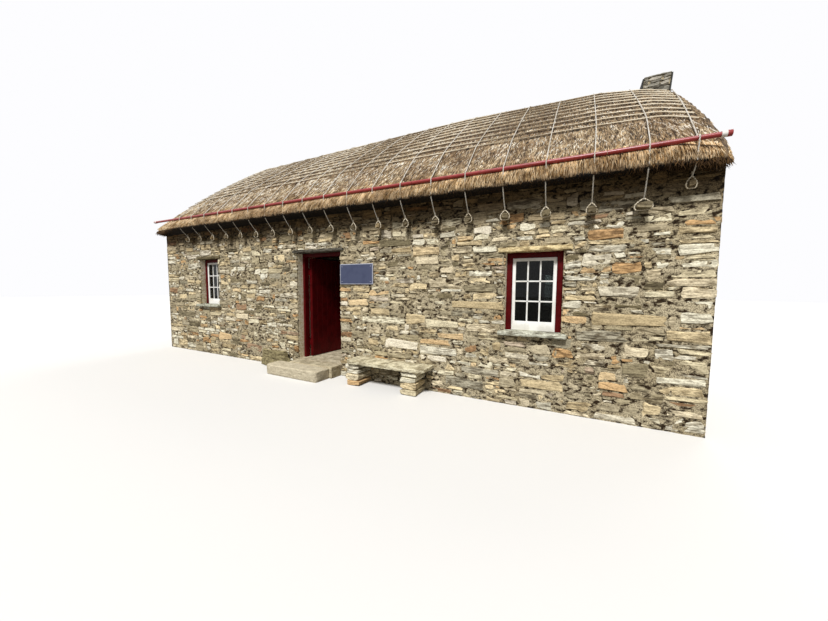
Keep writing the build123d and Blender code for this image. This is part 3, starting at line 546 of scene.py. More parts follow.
def lay_stones(length, top_at, in_the_way, seed, heights=(0.035, 0.11), reach=(1.8, 5.5), quoins=()):
    """Stones (left, right, low, high) that fill a wall face up to its top, lowest bed first.

    The ends named in quoins, 0 and 1, are corners of the house and get larger stones.
    """
    rng = np.random.default_rng(seed)
    count = int(round(length / COLUMN))
    top = np.array([top_at(x) for x in (np.arange(count) + 0.5) * COLUMN])
    bed = np.zeros(count)
    spans = [
        (max(0, int(round(left / COLUMN))), min(count, int(round(right / COLUMN))), low, high)
        for left, right, low, high in in_the_way
    ]

    def step_over():
        for _ in range(4):
            for first, last, low, high in spans:
                part = bed[first:last]
                part[(part >= low - MEETS) & (part < high)] = high

    step_over()
    stones = []
    while True:
        free = bed < top - 0.015
        if not free.any():
            return stones
        lowest = int(np.where(free, bed, np.inf).argmin())
        level = bed[lowest]
        first = last = lowest
        while first > 0 and abs(bed[first - 1] - level) < SAME_BED:
            first -= 1
        while last < count - 1 and abs(bed[last + 1] - level) < SAME_BED:
            last += 1
        last += 1
        run = last - first
        height = rng.uniform(*heights) * rng.choice((0.7, 1.0, 1.0, 1.5))
        wide = int(max(SHORTEST, height * rng.uniform(*reach)) / COLUMN)
        at_corner = [end for end in quoins if (first == 0 if end == 0 else last == count)]
        if at_corner:
            height = rng.choice(CORNER_HEIGHTS) * rng.uniform(0.9, 1.1)
            wide = int(rng.uniform(*CORNER_LENGTHS) / COLUMN)
        if wide > run - LEAST_REST:
            wide = run
        start = first if rng.random() < 0.5 else last - wide
        if at_corner and wide < run:
            start = first if at_corner[0] == 0 else last - wide
        # A narrow stretch is filled up to its neighbour, and so is one that would leave a thin gap
        for at in (start - 1, start + wide):
            if 0 <= at < count and bed[at] > level:
                if run <= LEAST_REST or abs(level + height - bed[at]) < THIN_GAP:
                    height = min(bed[at] - level, TALLEST)
                    break
        for left, right, low, high in spans:
            if left < start + wide and right > start and low > level + MEETS:
                if level + height > low - UNDER_LINTEL:
                    height = low - level
        limit = top[start : start + wide].min() - level
        high = level + height
        if height > limit:
            height = max(limit, 0.0)
            high = max(level + height, level + 0.02)
        if height > THINNEST:
            stones.append((start * COLUMN, (start + wide) * COLUMN, level, level + height))
        bed[start : start + wide] = max(high, level + 0.012)
        step_over()


# %% [markdown]
# Each stone is one of the block shapes, fitted between its joints. Only its middle stretches, so a
# long stone has the same worn ends as a short one. It leans and tapers a little, stands proud by its
# own amount, and carries the number that gives it its colour.

# %% Making the stones
PALE_SHADES, GREY_SHADES, RUSTY = (0.10, 0.20, 0.40, 0.60, 0.80), (0.02, 0.32, 0.48, 0.70), 0.89
STONE_DEPTH, END_LENGTH, WOBBLE = 0.07, 0.18, 0.011


def fitted(share, size, most):
    """Places along a stone's side: its rounded ends take no more than on a side of the given most."""
    return np.sign(share) * (size / 2 - (0.5 - np.abs(share)) * min(size, most))


def build_stones(name, stones, origin, outward, seed, depths=None, shades=None, joint=0.006, proud=0.012):
    """One mesh of all the stones of a wall face, each with its own number, or one of the shades."""
    rng = np.random.default_rng(seed + 1000)
    origin, outward = np.array(origin, float), np.array(outward, float)
    along = np.abs(outward)[[1, 0, 2]]
    flipped = np.cross(along, outward)[2] < 0
    points, faces, numbers = [], [], []
    for at, (left, right, low, high) in enumerate(stones):
        corners, polygons = blocks[rng.integers(BLOCK_SHAPES)]
        side = rng.choice((-1, 1))
        u, v, w = (corners * (side, 1, side)).T
        wobble = rng.uniform(-WOBBLE, WOBBLE, 4)
        length = max(right - left - joint * 2, 0.02)
        tall = max(high - low - joint * 1.6, 0.012)
        x = (left + right) / 2 + fitted(u, length, END_LENGTH) + w * (wobble[0] + wobble[1] * u)
        z = (low + high) / 2 + w * tall * (1 + u * wobble[3] * 45) + u * wobble[2] * 1.5
        deep = depths[at] if depths is not None else STONE_DEPTH
        out = rng.uniform(-0.003, proud) - deep / 2 + fitted(v, deep, STONE_DEPTH)
        place = origin + x[:, None] * along + out[:, None] * outward
        place[:, 2] += z
        start = len(points)
        points.extend(place.tolist())
        turned = [polygon[::-1] if flipped else polygon for polygon in polygons]
        faces.extend([start + corner for corner in polygon] for polygon in turned)
        own = rng.choice(shades) if shades else rng.random()
        if shades is None and deep > 0.1 and rng.random() < 0.8:
            own = rng.choice(PALE_SHADES)
        numbers.extend([own] * len(place))
    piece = mesh_piece(name, points, faces)
    set_number(piece, "stone", numbers)
    return piece


# %% [markdown]
# ### The front and back
# Stones at a corner turn it, so each of those gets its own depth, and the gable's stones start
# behind it. The stones leave room for the openings, lintels and sills, whose places are read from
# their boxes in the CAD.

# %% What is in the stones' way
HALF_LENGTH, HALF_WIDTH, WALL_HEAD = 5.35, 2.5, 2.88
SLOPE = math.tan(math.radians(36))
DOOR_LEFT, DOOR_RIGHT, WINDOW_HALF = -0.685, 0.353, 0.3525


def gable_top(along):
    """Height of a gable at a place along it."""
    return WALL_HEAD + (HALF_WIDTH - abs(along - HALF_WIDTH)) * SLOPE


def window_blocks(side_name, offset):
    """Rectangles of one window's opening, lintel and sill, measured from offset along the wall."""
    lintel_low, lintel_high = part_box(side_name + "_window_lintel")
    sill_low, sill_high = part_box(side_name + "_window_sill")
    middle = (lintel_low.x + lintel_high.x) / 2
    return [
        (middle - WINDOW_HALF - offset, middle + WINDOW_HALF - offset, sill_high.z, lintel_low.z),
        (lintel_low.x - offset, lintel_high.x - offset, lintel_low.z, lintel_high.z),
        (sill_low.x - offset, sill_high.x - offset, sill_low.z, sill_high.z),
    ]


door_low, door_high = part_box("door_lintel")
FRONT_PANELS = {
    "front_wall_left": (
        -HALF_LENGTH, DOOR_LEFT,
        window_blocks("left", -HALF_LENGTH) + [(door_low.x + HALF_LENGTH, 9, door_low.z, door_high.z)],
    ),
    "front_wall_right": (
        DOOR_RIGHT, HALF_LENGTH,
        window_blocks("right", DOOR_RIGHT) + [(-1, door_high.x - DOOR_RIGHT, door_low.z, door_high.z)],
    ),
    "front_wall_over_door": (DOOR_LEFT, DOOR_RIGHT, [(-1, 9, 0, door_high.z)]),
}
RIGHT_WINDOW = window_blocks("right", 0)

# %% Cores of lime mortar
MORTAR_RECESS = 0.022


def mortar_core(node):
    """The wall itself, set back a little behind its stones, with smooth render in its openings."""
    piece = copy_node(node)
    for vertex in piece.data.vertices:
        if abs(vertex.co.y) > HALF_WIDTH - 0.001:
            vertex.co.y -= math.copysign(MORTAR_RECESS, vertex.co.y)
        if abs(vertex.co.x) > HALF_LENGTH - 0.001:
            vertex.co.x -= math.copysign(MORTAR_RECESS, vertex.co.x)
    dress(piece, node + "_core", lime_mortar, "cottage", "rubble_stone", node)
    piece.data.materials.append(smooth_render)
    piece.data.materials.append(limewash)
    for face in piece.data.polygons:
        in_opening = abs(face.normal.x) > 0.9 and abs(face.center.x) < HALF_LENGTH - 0.6
        inside = abs(face.center.y) < HALF_WIDTH - 0.45 and abs(face.center.x) < HALF_LENGTH - 0.45
        face.material_index = 2 if inside else 1 if in_opening else 0


WALL_NODES = (*FRONT_PANELS, "back_wall_left", "back_wall_right", "left_gable_wall", "right_gable_wall")
for node in WALL_NODES:
    mortar_core(node)
print("wall cores", len(WALL_NODES))

# %% [markdown]
# Between the stones the mortar isn't flat: it was pushed in and smeared over their edges. A sheet of
# small squares over each wall, pushed in and out by clouds of two sizes, gives those smears. Its
# squares in the openings are taken out.

# %% Smeared mortar
MORTAR_SQUARE, MORTAR_LUMP, MORTAR_SET_BACK = 0.045, 0.013, 0.005


def smeared_mortar(name, length, height, place, keep):
    """A wall-high sheet of lumpy mortar; keep says which spots (along, up) it covers."""
    bpy.ops.object.select_all(action="DESELECT")
    bpy.ops.mesh.primitive_grid_add(
        x_subdivisions=int(length / MORTAR_SQUARE), y_subdivisions=int(height / MORTAR_SQUARE), size=1
    )
    sheet = bpy.context.object
    for vertex in sheet.data.vertices:
        along, level = (vertex.co.x + 0.5) * length, (vertex.co.y + 0.5) * height
        spot = Vector((along, level, length))
        lump = noise.noise(spot * 7.0) * 0.011 + noise.noise(spot * 19.0) * 0.008
        vertex.co = (along, level, max(min(lump, MORTAR_LUMP), -MORTAR_LUMP) - MORTAR_SET_BACK)
    edit_all(sheet)
    bpy.ops.mesh.select_mode(type="FACE")
    close_edit()
    for face in sheet.data.polygons:
        corners = [sheet.data.vertices[at].co for at in face.vertices]
        face.select = not all(keep(corner.x, corner.y) for corner in corners)
    bpy.ops.object.mode_set(mode="EDIT")
    bpy.ops.mesh.delete(type="FACE")
    close_edit()
    sheet.data.transform(place)
    bpy.ops.object.shade_smooth()
    dress(sheet, name, lime_mortar, "cottage", "rubble_stone")
    return len(sheet.data.polygons)


def outside(blocks_in_way):
    """A test for spots that lie in none of the given rectangles."""
    return lambda along, level: not any(
        left - 0.005 < along < right + 0.005 and low - 0.005 < level < high + 0.005
        for left, right, low, high in blocks_in_way
    )


left_opening, right_opening = (window_blocks(name, -HALF_LENGTH)[0] for name in ("left", "right"))
doorway = (DOOR_LEFT + HALF_LENGTH, DOOR_RIGHT + HALF_LENGTH, -1, door_low.z)
mirrored = (2 * HALF_LENGTH - right_opening[1], 2 * HALF_LENGTH - right_opening[0], *right_opening[2:])
front, back = outside((doorway, left_opening, right_opening)), outside((right_opening, mirrored))
faces_made = 0
for name, facing, keep in (("front_mortar", -1, front), ("back_mortar", 1, back)):
    stand = Matrix((
        (1, 0, 0, -HALF_LENGTH), (0, 0, facing, facing * HALF_WIDTH), (0, 1, 0, 0), (0, 0, 0, 1),
    ))
    faces_made += smeared_mortar(name, 2 * HALF_LENGTH, WALL_HEAD, stand, keep)
for name, side in (("left_gable_mortar", -1), ("right_gable_mortar", 1)):
    stand = Matrix(((0, 0, side, side * HALF_LENGTH), (1, 0, 0, -HALF_WIDTH), (0, 1, 0, 0), (0, 0, 0, 1)))
    faces_made += smeared_mortar(
        name, 2 * HALF_WIDTH, gable_top(HALF_WIDTH), stand,
        lambda along, level: level < gable_top(along) + 0.01,
    )
print("mortar faces", faces_made)

# %% Stones of the long walls
corner_stones = {}


def long_wall(name, first, last, in_the_way, facing, seed):
    """Stones of one stretch of the front (facing -1) or the back (facing 1)."""
    ends = [end for end, x in enumerate((first, last)) if abs(abs(x) - HALF_LENGTH) < COLUMN]
    stones = lay_stones(last - first, lambda x: WALL_HEAD, in_the_way, seed, quoins=ends)
    rng = np.random.default_rng(seed + 500)
    depths = []
    for left, right, low, high in stones:
        deep = STONE_DEPTH
        for side, edge in ((-1, first + left), (1, first + right)):
            if abs(edge - side * HALF_LENGTH) < COLUMN:
                deep = rng.uniform(0.14, 0.42)
                corner_stones.setdefault((side, facing), []).append((deep, low, high))
        depths.append(deep)
    piece = build_stones(name, stones, (first, facing * HALF_WIDTH, 0), (0, facing, 0), seed, depths)
    dress(piece, name, split_schist, "cottage", "rubble_stone")
    return len(stones)


laid = 0
for seed, (node, (first, last, in_the_way)) in enumerate(FRONT_PANELS.items()):
    laid += long_wall(node + "_stones", first, last, in_the_way, -1, seed)
for seed, (side, name) in enumerate(((-1, "back_wall_left_stones"), (1, "back_wall_right_stones"))):
    first = min(side, 0) * HALF_LENGTH
    in_the_way = [
        (min(side * left, side * right) - first, max(side * left, side * right) - first, low, high)
        for left, right, low, high in RIGHT_WINDOW
    ]
    laid += long_wall(name, first, first + HALF_LENGTH, in_the_way, 1, seed + 10)
print("stones in the long walls", laid)

# %% Stones of the gables
for side, name in ((-1, "left_gable_stones"), (1, "right_gable_stones")):
    turned = [(0, deep, low, high) for deep, low, high in corner_stones[(side, -1)]]
    for deep, low, high in corner_stones[(side, 1)]:
        turned.append((2 * HALF_WIDTH - deep, 2 * HALF_WIDTH, low, high))
    stones = lay_stones(2 * HALF_WIDTH, gable_top, turned, 20 + side)
    piece = build_stones(name, stones, (side * HALF_LENGTH, -HALF_WIDTH, 0), (side, 0, 0), 20 + side)
    dress(piece, name, split_schist, "cottage", "rubble_stone")
    print(name, len(stones))

# %% [markdown]
# ## Lintels, sills, bench, steps and boulder
# These are slabs as they were split, so their edges wander. Each is the CAD's slab with a fine skin
# of even faces, which a cloud pattern then pushes in.

# %% Rough slabs
for seed, (node, material, slot) in enumerate((
    ("left_window_lintel", split_schist, "slab_stone"),
    ("right_window_lintel", pale_slab, "slab_stone"),
    ("back_window_lintels", pale_slab, "slab_stone"),
    ("left_window_sill", grey_slab, "slab_stone"),
    ("right_window_sill", grey_slab, "slab_stone"),
    ("back_window_sills", grey_slab, "slab_stone"),
    ("door_lintel", dark_slate, "slab_stone"),
    ("bench_seat", bench_slab, "slab_stone"),
    ("upper_step", flagstone, "slab_stone"),
    ("lower_step", flagstone, "slab_stone"),
    ("chimney_cap", chimney_rubble, "chimney_stone"),
)):
    rough_stone(node, node + "_rough", material, slot, voxel=0.014, seed=seed)
rough_stone("footing_boulder", "footing_boulder_rough", mossy_rock, "mossy_stone", 0.016, 0.05, 0.16, 3)
slabs = [piece for piece in bpy.data.objects if piece.name.endswith("_rough")]
print("slabs", len(slabs), "faces", sum(len(piece.data.polygons) for piece in slabs))

# %% Bench piers of stacked stones
PIER_COURSES = (0.0, 0.085, 0.19, 0.27)
for seed, node in enumerate(("bench_left_pier", "bench_right_pier")):
    low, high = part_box(node)
    courses = (*PIER_COURSES, high.z)
    stones = [(0.0, high.x - low.x, below, above) for below, above in zip(courses, courses[1:])]
    piece = build_stones(
        node, stones, (low.x, low.y, 0), (0, -1, 0), 40 + seed, [high.y - low.y] * len(stones),
        PALE_SHADES + (RUSTY,), joint=0.003, proud=0.01,
    )
    dress(piece, node + "_stones", split_schist, "cottage", "rubble_stone", node)

# %% [markdown]
# ## Chimney
# The stack is small rubble between two slates set on edge, and it leans towards the gable end.

# %% Chimney
stack_low, stack_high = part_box("chimney_stack")
STACK_WIDTH, STACK_DEPTH, STACK_LEAN = 0.36, 0.42, 0.05
SLATE_THICKNESS, SLATE_FOOT, SLATE_PROUD = 0.022, 0.3, 0.012
stack_height = stack_high.z - stack_low.z


def lean(piece):
    """Shift a piece towards the gable end by its height above the stack's seat."""
    for vertex in piece.data.vertices:
        vertex.co.x += (vertex.co.z - stack_low.z) * STACK_LEAN / stack_height
    return piece


def stack_face(stones, facing, seed, depth, **look):
    """Stones on the stack's front (facing -1) or back (facing 1)."""
    origin = (stack_low.x, facing * STACK_DEPTH / 2, stack_low.z)
    return lean(build_stones("stack", stones, origin, (0, facing, 0), seed, [depth] * len(stones), **look))


faces_of_stack = []
for seed, facing in ((60, -1), (61, 1)):
    stones = lay_stones(STACK_WIDTH, lambda x: stack_height, [], seed, (0.03, 0.06), (1.2, 2.6))
    shades = GREY_SHADES + (0.20,)
    faces_of_stack.append(stack_face(stones, facing, seed, 0.04, shades=shades, joint=0.004, proud=0.006))
dress(joined(faces_of_stack), "chimney_stack_stones", chimney_rubble, "cottage", "chimney_stone")
core = copy_node("chimney_stack")
for vertex in core.data.vertices:
    vertex.co.y *= 1 - 0.014 / (STACK_DEPTH / 2)
dress(core, "chimney_stack_core", lime_mortar, "cottage", "chimney_stone", "chimney_stack")
piece = stack_face([(0.10, 0.28, 0.44, 0.54)], -1, 64, 0.06, joint=0.0, proud=0.016)
dress(piece, "chimney_dark_stone", dark_slate, "cottage", "chimney_stone")
slates = []
for edge in (stack_low.x - SLATE_THICKNESS, stack_low.x + STACK_WIDTH):
    slates.append(lean(bar(
        (edge, -STACK_DEPTH / 2 - SLATE_PROUD, stack_low.z + SLATE_FOOT),
        (edge + SLATE_THICKNESS, STACK_DEPTH / 2 + SLATE_PROUD, stack_high.z - 0.001), 0.004,
    )))
piece = joined(slates)
set_number(piece, "stone", np.full(len(piece.data.vertices), 0.04))
dress(piece, "chimney_side_slates", dark_slate, "cottage", "chimney_stone")
print("stones on the stack's back", len(stones))

# %% [markdown]
# ## The thatch
# The roof's coat of straw is one closed shell. Its upper face follows the CAD's sections, rounded
# over the eave, and it swells a little between the lines that press it down. The lower face
# lies on the wall heads. Its ends bulge, as cut straw does.

# %% The roof's shape
STATIONS = np.array((
    # x, drop of the ridge, lift of the eave, loss of the lip's height, draw of the lip
    (-5.36, 0.100, 0.075, 0.060, 0.100),
    (-4.40, 0.000, 0.070, 0.000, 0.000),
    (1.92, 0.000, 0.000, 0.000, 0.000),
    (4.30, 0.110, -0.025, 0.000, 0.000),
    (4.90, 0.210, -0.025, 0.000, 0.000),
    (5.36, 0.350, -0.025, 0.060, 0.100),
))
VERGE = 5.36
LIP_Y, LIP_LOW, LIP_HEIGHT, LIP_LEAN = 2.8, 2.875, 0.15, 0.02
RIDGE_TOP, SHOULDER_DROP, SHOULDER_HALF, BULGE = 5.185, 0.13, 0.32, 0.05
CROWN_RADIUS = (SHOULDER_HALF**2 + SHOULDER_DROP**2) / (2 * SHOULDER_DROP)
CROWN_ANGLE = math.asin(SHOULDER_HALF / CROWN_RADIUS)


def flank_ends(x):
    """Lip's foot, lip's top and shoulder of the front flank at x, as (y, z), and the ridge's drop."""
    drop, lift, loss, draw = (np.interp(x, STATIONS[:, 0], STATIONS[:, column]) for column in (1, 2, 3, 4))
    foot = np.array((-LIP_Y + draw, LIP_LOW + lift))
    shoulder = np.array((-SHOULDER_HALF, RIDGE_TOP - SHOULDER_DROP - drop))
    return foot, foot + (LIP_LEAN, LIP_HEIGHT - loss), shoulder, drop


def half_profile(x, count):
    """Points (y, z) of the front half of the upper face, from the lip's foot to the ridge."""
    foot, lip, shoulder, drop = flank_ends(x)
    along = shoulder - lip
    normal = np.array((-along[1], along[0])) / np.linalg.norm(along)
    shares = np.linspace(0, 1, 13)[:, None]
    flank = lip + along * shares + normal * BULGE * 4 * shares * (1 - shares)
    angles = np.linspace(CROWN_ANGLE, 0, 6)[1:]
    crown = np.column_stack((-np.sin(angles), np.cos(angles))) * CROWN_RADIUS
    crown += (0, RIDGE_TOP - drop - CROWN_RADIUS)
    raw = np.vstack((foot, flank, crown))
    run = np.concatenate(([0], np.cumsum(np.linalg.norm(np.diff(raw, axis=0), axis=1))))
    even = np.linspace(0, run[-1], count)
    points = np.column_stack([np.interp(even, run, raw[:, axis]) for axis in (0, 1)])
    for _ in range(2):
        points[1:-1] = (points[:-2] + 2 * points[1:-1] + points[2:]) / 4
    return points, even


# %% The grid of the upper face
HALF_POINTS, RINGS = 66, 184
LINE_SPACING, LINE_COUNT = 0.23, 10
across = 2 * HALF_POINTS - 1
ring_places = np.linspace(-VERGE, VERGE, RINGS)
surface = np.zeros((RINGS, across, 3))
slope_run = np.zeros((RINGS, across))
for ring, x in enumerate(ring_places):
    front, run = half_profile(x, HALF_POINTS)
    surface[ring, :, 0] = x
    surface[ring, :, 1:] = np.vstack((front, front[-2::-1] * (-1, 1)))
    slope_run[ring] = np.concatenate((run, 2 * run[-1] - run[-2::-1]))
down_slope = np.gradient(surface, axis=1)
down_slope /= np.linalg.norm(down_slope, axis=2, keepdims=True)
along_roof = np.gradient(surface, axis=0)
outwards = np.cross(along_roof, down_slope)
outwards /= np.linalg.norm(outwards, axis=2, keepdims=True)
print("outwards at the ridge", outwards[RINGS // 2, HALF_POINTS - 1].round(2))

# %% Swelling between the lines
SWELL, LINE_BED, LUMPS, TUFTS, END_ROLL = 0.024, 0.020, 0.007, 0.005, 0.025
half_run = slope_run[:, HALF_POINTS - 1 : HALF_POINTS]
from_ridge = np.abs(slope_run - half_run)
crown_run = CROWN_RADIUS * CROWN_ANGLE
roped = (from_ridge - crown_run) / LINE_SPACING
in_net = (roped > -1) & (roped < LINE_COUNT - 1)
swell = np.where(in_net, np.sin(np.pi * (roped % 1)) ** 0.7 * SWELL - LINE_BED, -0.006)
lumps = np.array([[noise.noise(Vector(point) * 2.2) for point in row] for row in surface])
tufts = np.array([[noise.noise(Vector(point * (14, 6, 6))) for point in row] for row in surface])
end_roll = np.clip((np.abs(surface[:, :, 0]) - (VERGE - 0.2)) / 0.2, 0, 1)
corner = end_roll * np.clip((np.abs(surface[:, :, 1]) - 2.45) / 0.35, 0, 1)
surface[:, :, 0] -= np.sign(surface[:, :, 0]) * 0.06 * corner
rise = swell + lumps * LUMPS + tufts * TUFTS - END_ROLL * (1 - np.sqrt(1 - end_roll**2 * 0.96))
upper = surface + outwards * rise[:, :, None]

# %% The shell
lower = surface.copy()
reach = np.abs(surface[:, :, 1])
beyond = np.clip((reach - HALF_WIDTH) / (reach[:, :1] - HALF_WIDTH), 0, 1)
over_room = WALL_HEAD + np.clip(HALF_WIDTH - reach, 0, None) * SLOPE
lower[:, :, 2] = np.where(beyond > 0, WALL_HEAD + (surface[:, :1, 2] - WALL_HEAD) * beyond, over_room)
lower[:, :, 2] -= 0.02 * (reach > HALF_WIDTH - 0.06)
lower[:, (0, -1)] = upper[:, (0, -1)]
points = np.concatenate((upper.reshape(-1, 3), lower.reshape(-1, 3)))
faces, under = [], RINGS * across
for ring in range(RINGS - 1):
    for at in range(across - 1):
        a, b = ring * across + at, (ring + 1) * across + at
        faces.append((a, a + 1, b + 1, b))
        faces.append((under + a, under + b, under + b + 1, under + a + 1))
CAP_STEPS = 5
for ring, side in ((0, -1), (RINGS - 1, 1)):
    rows = [np.arange(across) + ring * across]
    for step in range(1, CAP_STEPS):
        share = step / CAP_STEPS
        row = upper[ring] + (lower[ring] - upper[ring]) * share
        bulge = side * 0.02 * math.sin(math.pi * share)
        row[:, 0] += [bulge + noise.noise(Vector((p[1] * 9, p[2] * 9, side))) * 0.01 for p in row]
        rows.append(np.arange(across) + len(points))
        points = np.concatenate((points, row))
    rows.append(np.arange(across) + under + ring * across)
    for first, second in zip(rows, rows[1:]):
        for at in range(across - 1):
            quad = [int(corner) for corner in (first[at], second[at], second[at + 1], first[at + 1])]
            faces.append(quad if side > 0 else quad[::-1])
shell = mesh_piece("thatch_coat", points.tolist(), faces)
print("thatch faces", len(shell.data.polygons))

# %% The shell's map, and painted shade near the lines and under the eave
shade_and_dust = np.zeros(len(points))
# Painted shade on the coat near each line and on its whole lower face, where old straw and dust also
# darken it
to_line = np.abs((roped + 0.5) % 1 - 0.5) * LINE_SPACING
shade_and_dust[:under] = (np.clip(1 - to_line / 0.06, 0, 1) * in_net * 0.8).ravel()
shade_and_dust[under : 2 * under] = 1.0
set_number(shell, "painted_shade_and_dust", shade_and_dust)
end_rows = len(points) // across - 2 * RINGS
runs = np.concatenate((slope_run.ravel(), slope_run.ravel(), np.tile(slope_run[0], end_rows)))
corners = np.zeros(len(shell.data.loops), int)
shell.data.loops.foreach_get("vertex_index", corners)
slope_map = shell.data.uv_layers.new(name="slope")
mapped = np.column_stack((points[corners, 0], runs[corners])).astype(np.float32)
slope_map.data.foreach_set("uv", mapped.ravel())
edit_all(shell)
bpy.ops.mesh.remove_doubles(threshold=0.0001)
bpy.ops.mesh.normals_make_consistent(inside=False)
close_edit()
bpy.ops.object.shade_smooth()
dress(shell, "thatch_coat", packed_straw, "cottage", "straw_thatch", "thatch_roof")

# %% [markdown]
# ### Loose straw
# What makes thatch look like thatch is its straws: thousands of thin stems, combed down the slope,
# each a little off line. One stem is a thin spike of three faces, its root sunk in the coat, so
# that tens of thousands of them stay light. Real stems are 4 mm wide; these are two or three side by
# side, because single ones would not show. Nearly all straws between two lines end above the lower
# line, and a few cross it.

# %% Making straws


def from_grid(grid, rings, places):
    """Values of a grid between its points."""
    ring, at = (np.clip(way.astype(int), 0, size - 2) for way, size in zip((rings, places), grid.shape))
    a, b = (rings - ring)[:, None], (places - at)[:, None]
    return (
        grid[ring, at] * (1 - a) * (1 - b) + grid[ring + 1, at] * a * (1 - b)
        + grid[ring, at + 1] * (1 - a) * b + grid[ring + 1, at + 1] * a * b
    )


def straws(name, roots, ways, outs, lengths, lifts, numbers, astray, rng):
    """One mesh of three-sided spikes from roots along ways, tips lifted, and a little off line."""
    count = len(roots)
    sides = np.cross(outs, ways)
    sides /= np.linalg.norm(sides, axis=1, keepdims=True)
    turn = rng.normal(0, astray, count)[:, None]
    ways, sides = ways * np.cos(turn) + sides * np.sin(turn), sides * np.cos(turn) - ways * np.sin(turn)
    half = rng.uniform(0.003, 0.0085, count)[:, None]
    points = np.stack((
        roots - sides * half - outs * 0.002, roots + sides * half - outs * 0.002,
        roots + outs * half * 1.2 + ways * 0.01, roots + ways * lengths[:, None] + outs * lifts[:, None],
    ), axis=1)
    faces = np.arange(count)[:, None, None] * 4 + np.array(((1, 0, 3), (2, 1, 3), (0, 2, 3)))
    piece = mesh_piece(name, points.reshape(-1, 3).tolist(), faces.reshape(-1, 3).tolist())
    set_number(piece, "straw", np.repeat(numbers, 4))
    return dress(piece, name, loose_straw, "cottage", "straw_thatch")


def straw_numbers(roots, rng, middle=0.55):
    """Colour numbers that vary from straw to straw, and in patches of a hand's width."""
    patches = np.array([noise.noise(Vector(root) * 9) for root in roots])
    return np.clip(middle + patches * 0.45 + rng.normal(0, 0.30, len(roots)), 0, 1)


# %% Straws on the slopes
STRAWS_A_SLOPE, EAVE_STRAWS = 37000, 9000
LIP_ROOM, EAVE_BAND, NEXT_TO_LINE, CROSSING = 0.16, 0.30, 0.16, 0.04
for side, name in ((-1, "front_slope_straws"), (1, "back_slope_straws")):
    rng = np.random.default_rng(70 + side)
    count = STRAWS_A_SLOPE + EAVE_STRAWS
    at_eave = np.arange(count) >= STRAWS_A_SLOPE
    rings = rng.uniform(1, RINGS - 2, count)
    half_length = half_run[rings.astype(int), 0]
    to_ridge = rng.uniform(0.02, 1, count) * (half_length - LIP_ROOM)
    in_band = (to_ridge - crown_run) / LINE_SPACING % 1
    moved = (in_band < NEXT_TO_LINE) & (to_ridge > crown_run)
    to_ridge += np.where(moved, NEXT_TO_LINE - in_band, 0) * LINE_SPACING
    to_ridge = np.where(at_eave, half_length - rng.uniform(0.03, EAVE_BAND, count), to_ridge)
    lengths = rng.uniform(0.07, 0.16, count) * np.where(at_eave, 1.4, 1)
    band = np.clip(np.ceil((to_ridge - crown_run) / LINE_SPACING), 0, None)
    over_line = (band >= LINE_COUNT) | (rng.random(count) < CROSSING)
    room = np.where(over_line, 9, crown_run + band * LINE_SPACING - to_ridge - 0.012)
    lengths = np.minimum(lengths, np.clip(room, 0.02, None))
    ends_at = half_length + rng.uniform(-0.015, 0.012, count)
    lengths = np.minimum(lengths, ends_at - to_ridge)
    places = (half_length - to_ridge) / half_length * (HALF_POINTS - 1)
    if side > 0:
        places = across - 1 - places
    roots = from_grid(upper, rings, places)
    outs = from_grid(outwards, rings, places)
    ways = from_grid(down_slope, rings, places) * side
    # Straws close to a line are darker, painted shade where the line presses the straw down, and those at
    # the eaves are brighter
    line_shade = np.abs((to_ridge - crown_run) / LINE_SPACING % 1 - 0.5) * 2
    middle = np.where(at_eave, 0.80, 0.62 - 0.35 * np.where(band < LINE_COUNT, line_shade**3, 0))
    lifts = rng.uniform(0.001, 0.008, count)
    numbers = straw_numbers(roots, rng, middle)
    astray = np.where(to_ridge > half_length - 0.32, 0.07, 0.17)
    straws(name, roots, ways, outs, lengths, lifts, numbers, astray, rng)
print("straws a slope", count)

# %% Dark butts under the eaves
BUTT_STRAWS, AT_ENDS, BUTT_BAND = 5000, 0.2, 0.22
for side, name in ((-1, "front_eave_butts"), (1, "back_eave_butts")):
    rng = np.random.default_rng(75 + side)
    in_row = rng.random(BUTT_STRAWS) < 1 - AT_ENDS
    rings = rng.random(BUTT_STRAWS)
    rings = np.where(in_row, rings, rng.choice((0.015, 0.985), BUTT_STRAWS))
    rings = np.clip(rings + rng.normal(0, 0.012, BUTT_STRAWS), 0.001, 0.998) * (RINGS - 1)
    edge = 0.0 if side < 0 else across - 1.001
    foot = from_grid(surface, rings, np.full(BUTT_STRAWS, edge))
    inward = rng.uniform(0.0, BUTT_BAND, BUTT_STRAWS)
    roots = foot + (0, 0, 0.006) - inward[:, None] * (0, side, 0)
    ways = np.array((0, side * 0.5, -0.85)) + rng.normal(0, 0.2, (BUTT_STRAWS, 3)) * (1, 1, 0.3)
    ways /= np.linalg.norm(ways, axis=1, keepdims=True)
    outs = np.tile((0.0, side * 0.85, 0.5), (BUTT_STRAWS, 1))
    near_end = np.clip((np.abs(foot[:, 0]) - 4.2) / 0.9, 0, 1)
    lengths = rng.uniform(0.02, 0.05, BUTT_STRAWS) * (1 + 1.6 * near_end)
    # Their dark colours are painted shade under the eave, along with the dark cut ends of the straws
    straws(name, roots, ways, outs, lengths, lengths * 0, rng.uniform(0.0, 0.3, BUTT_STRAWS), 0.2, rng)

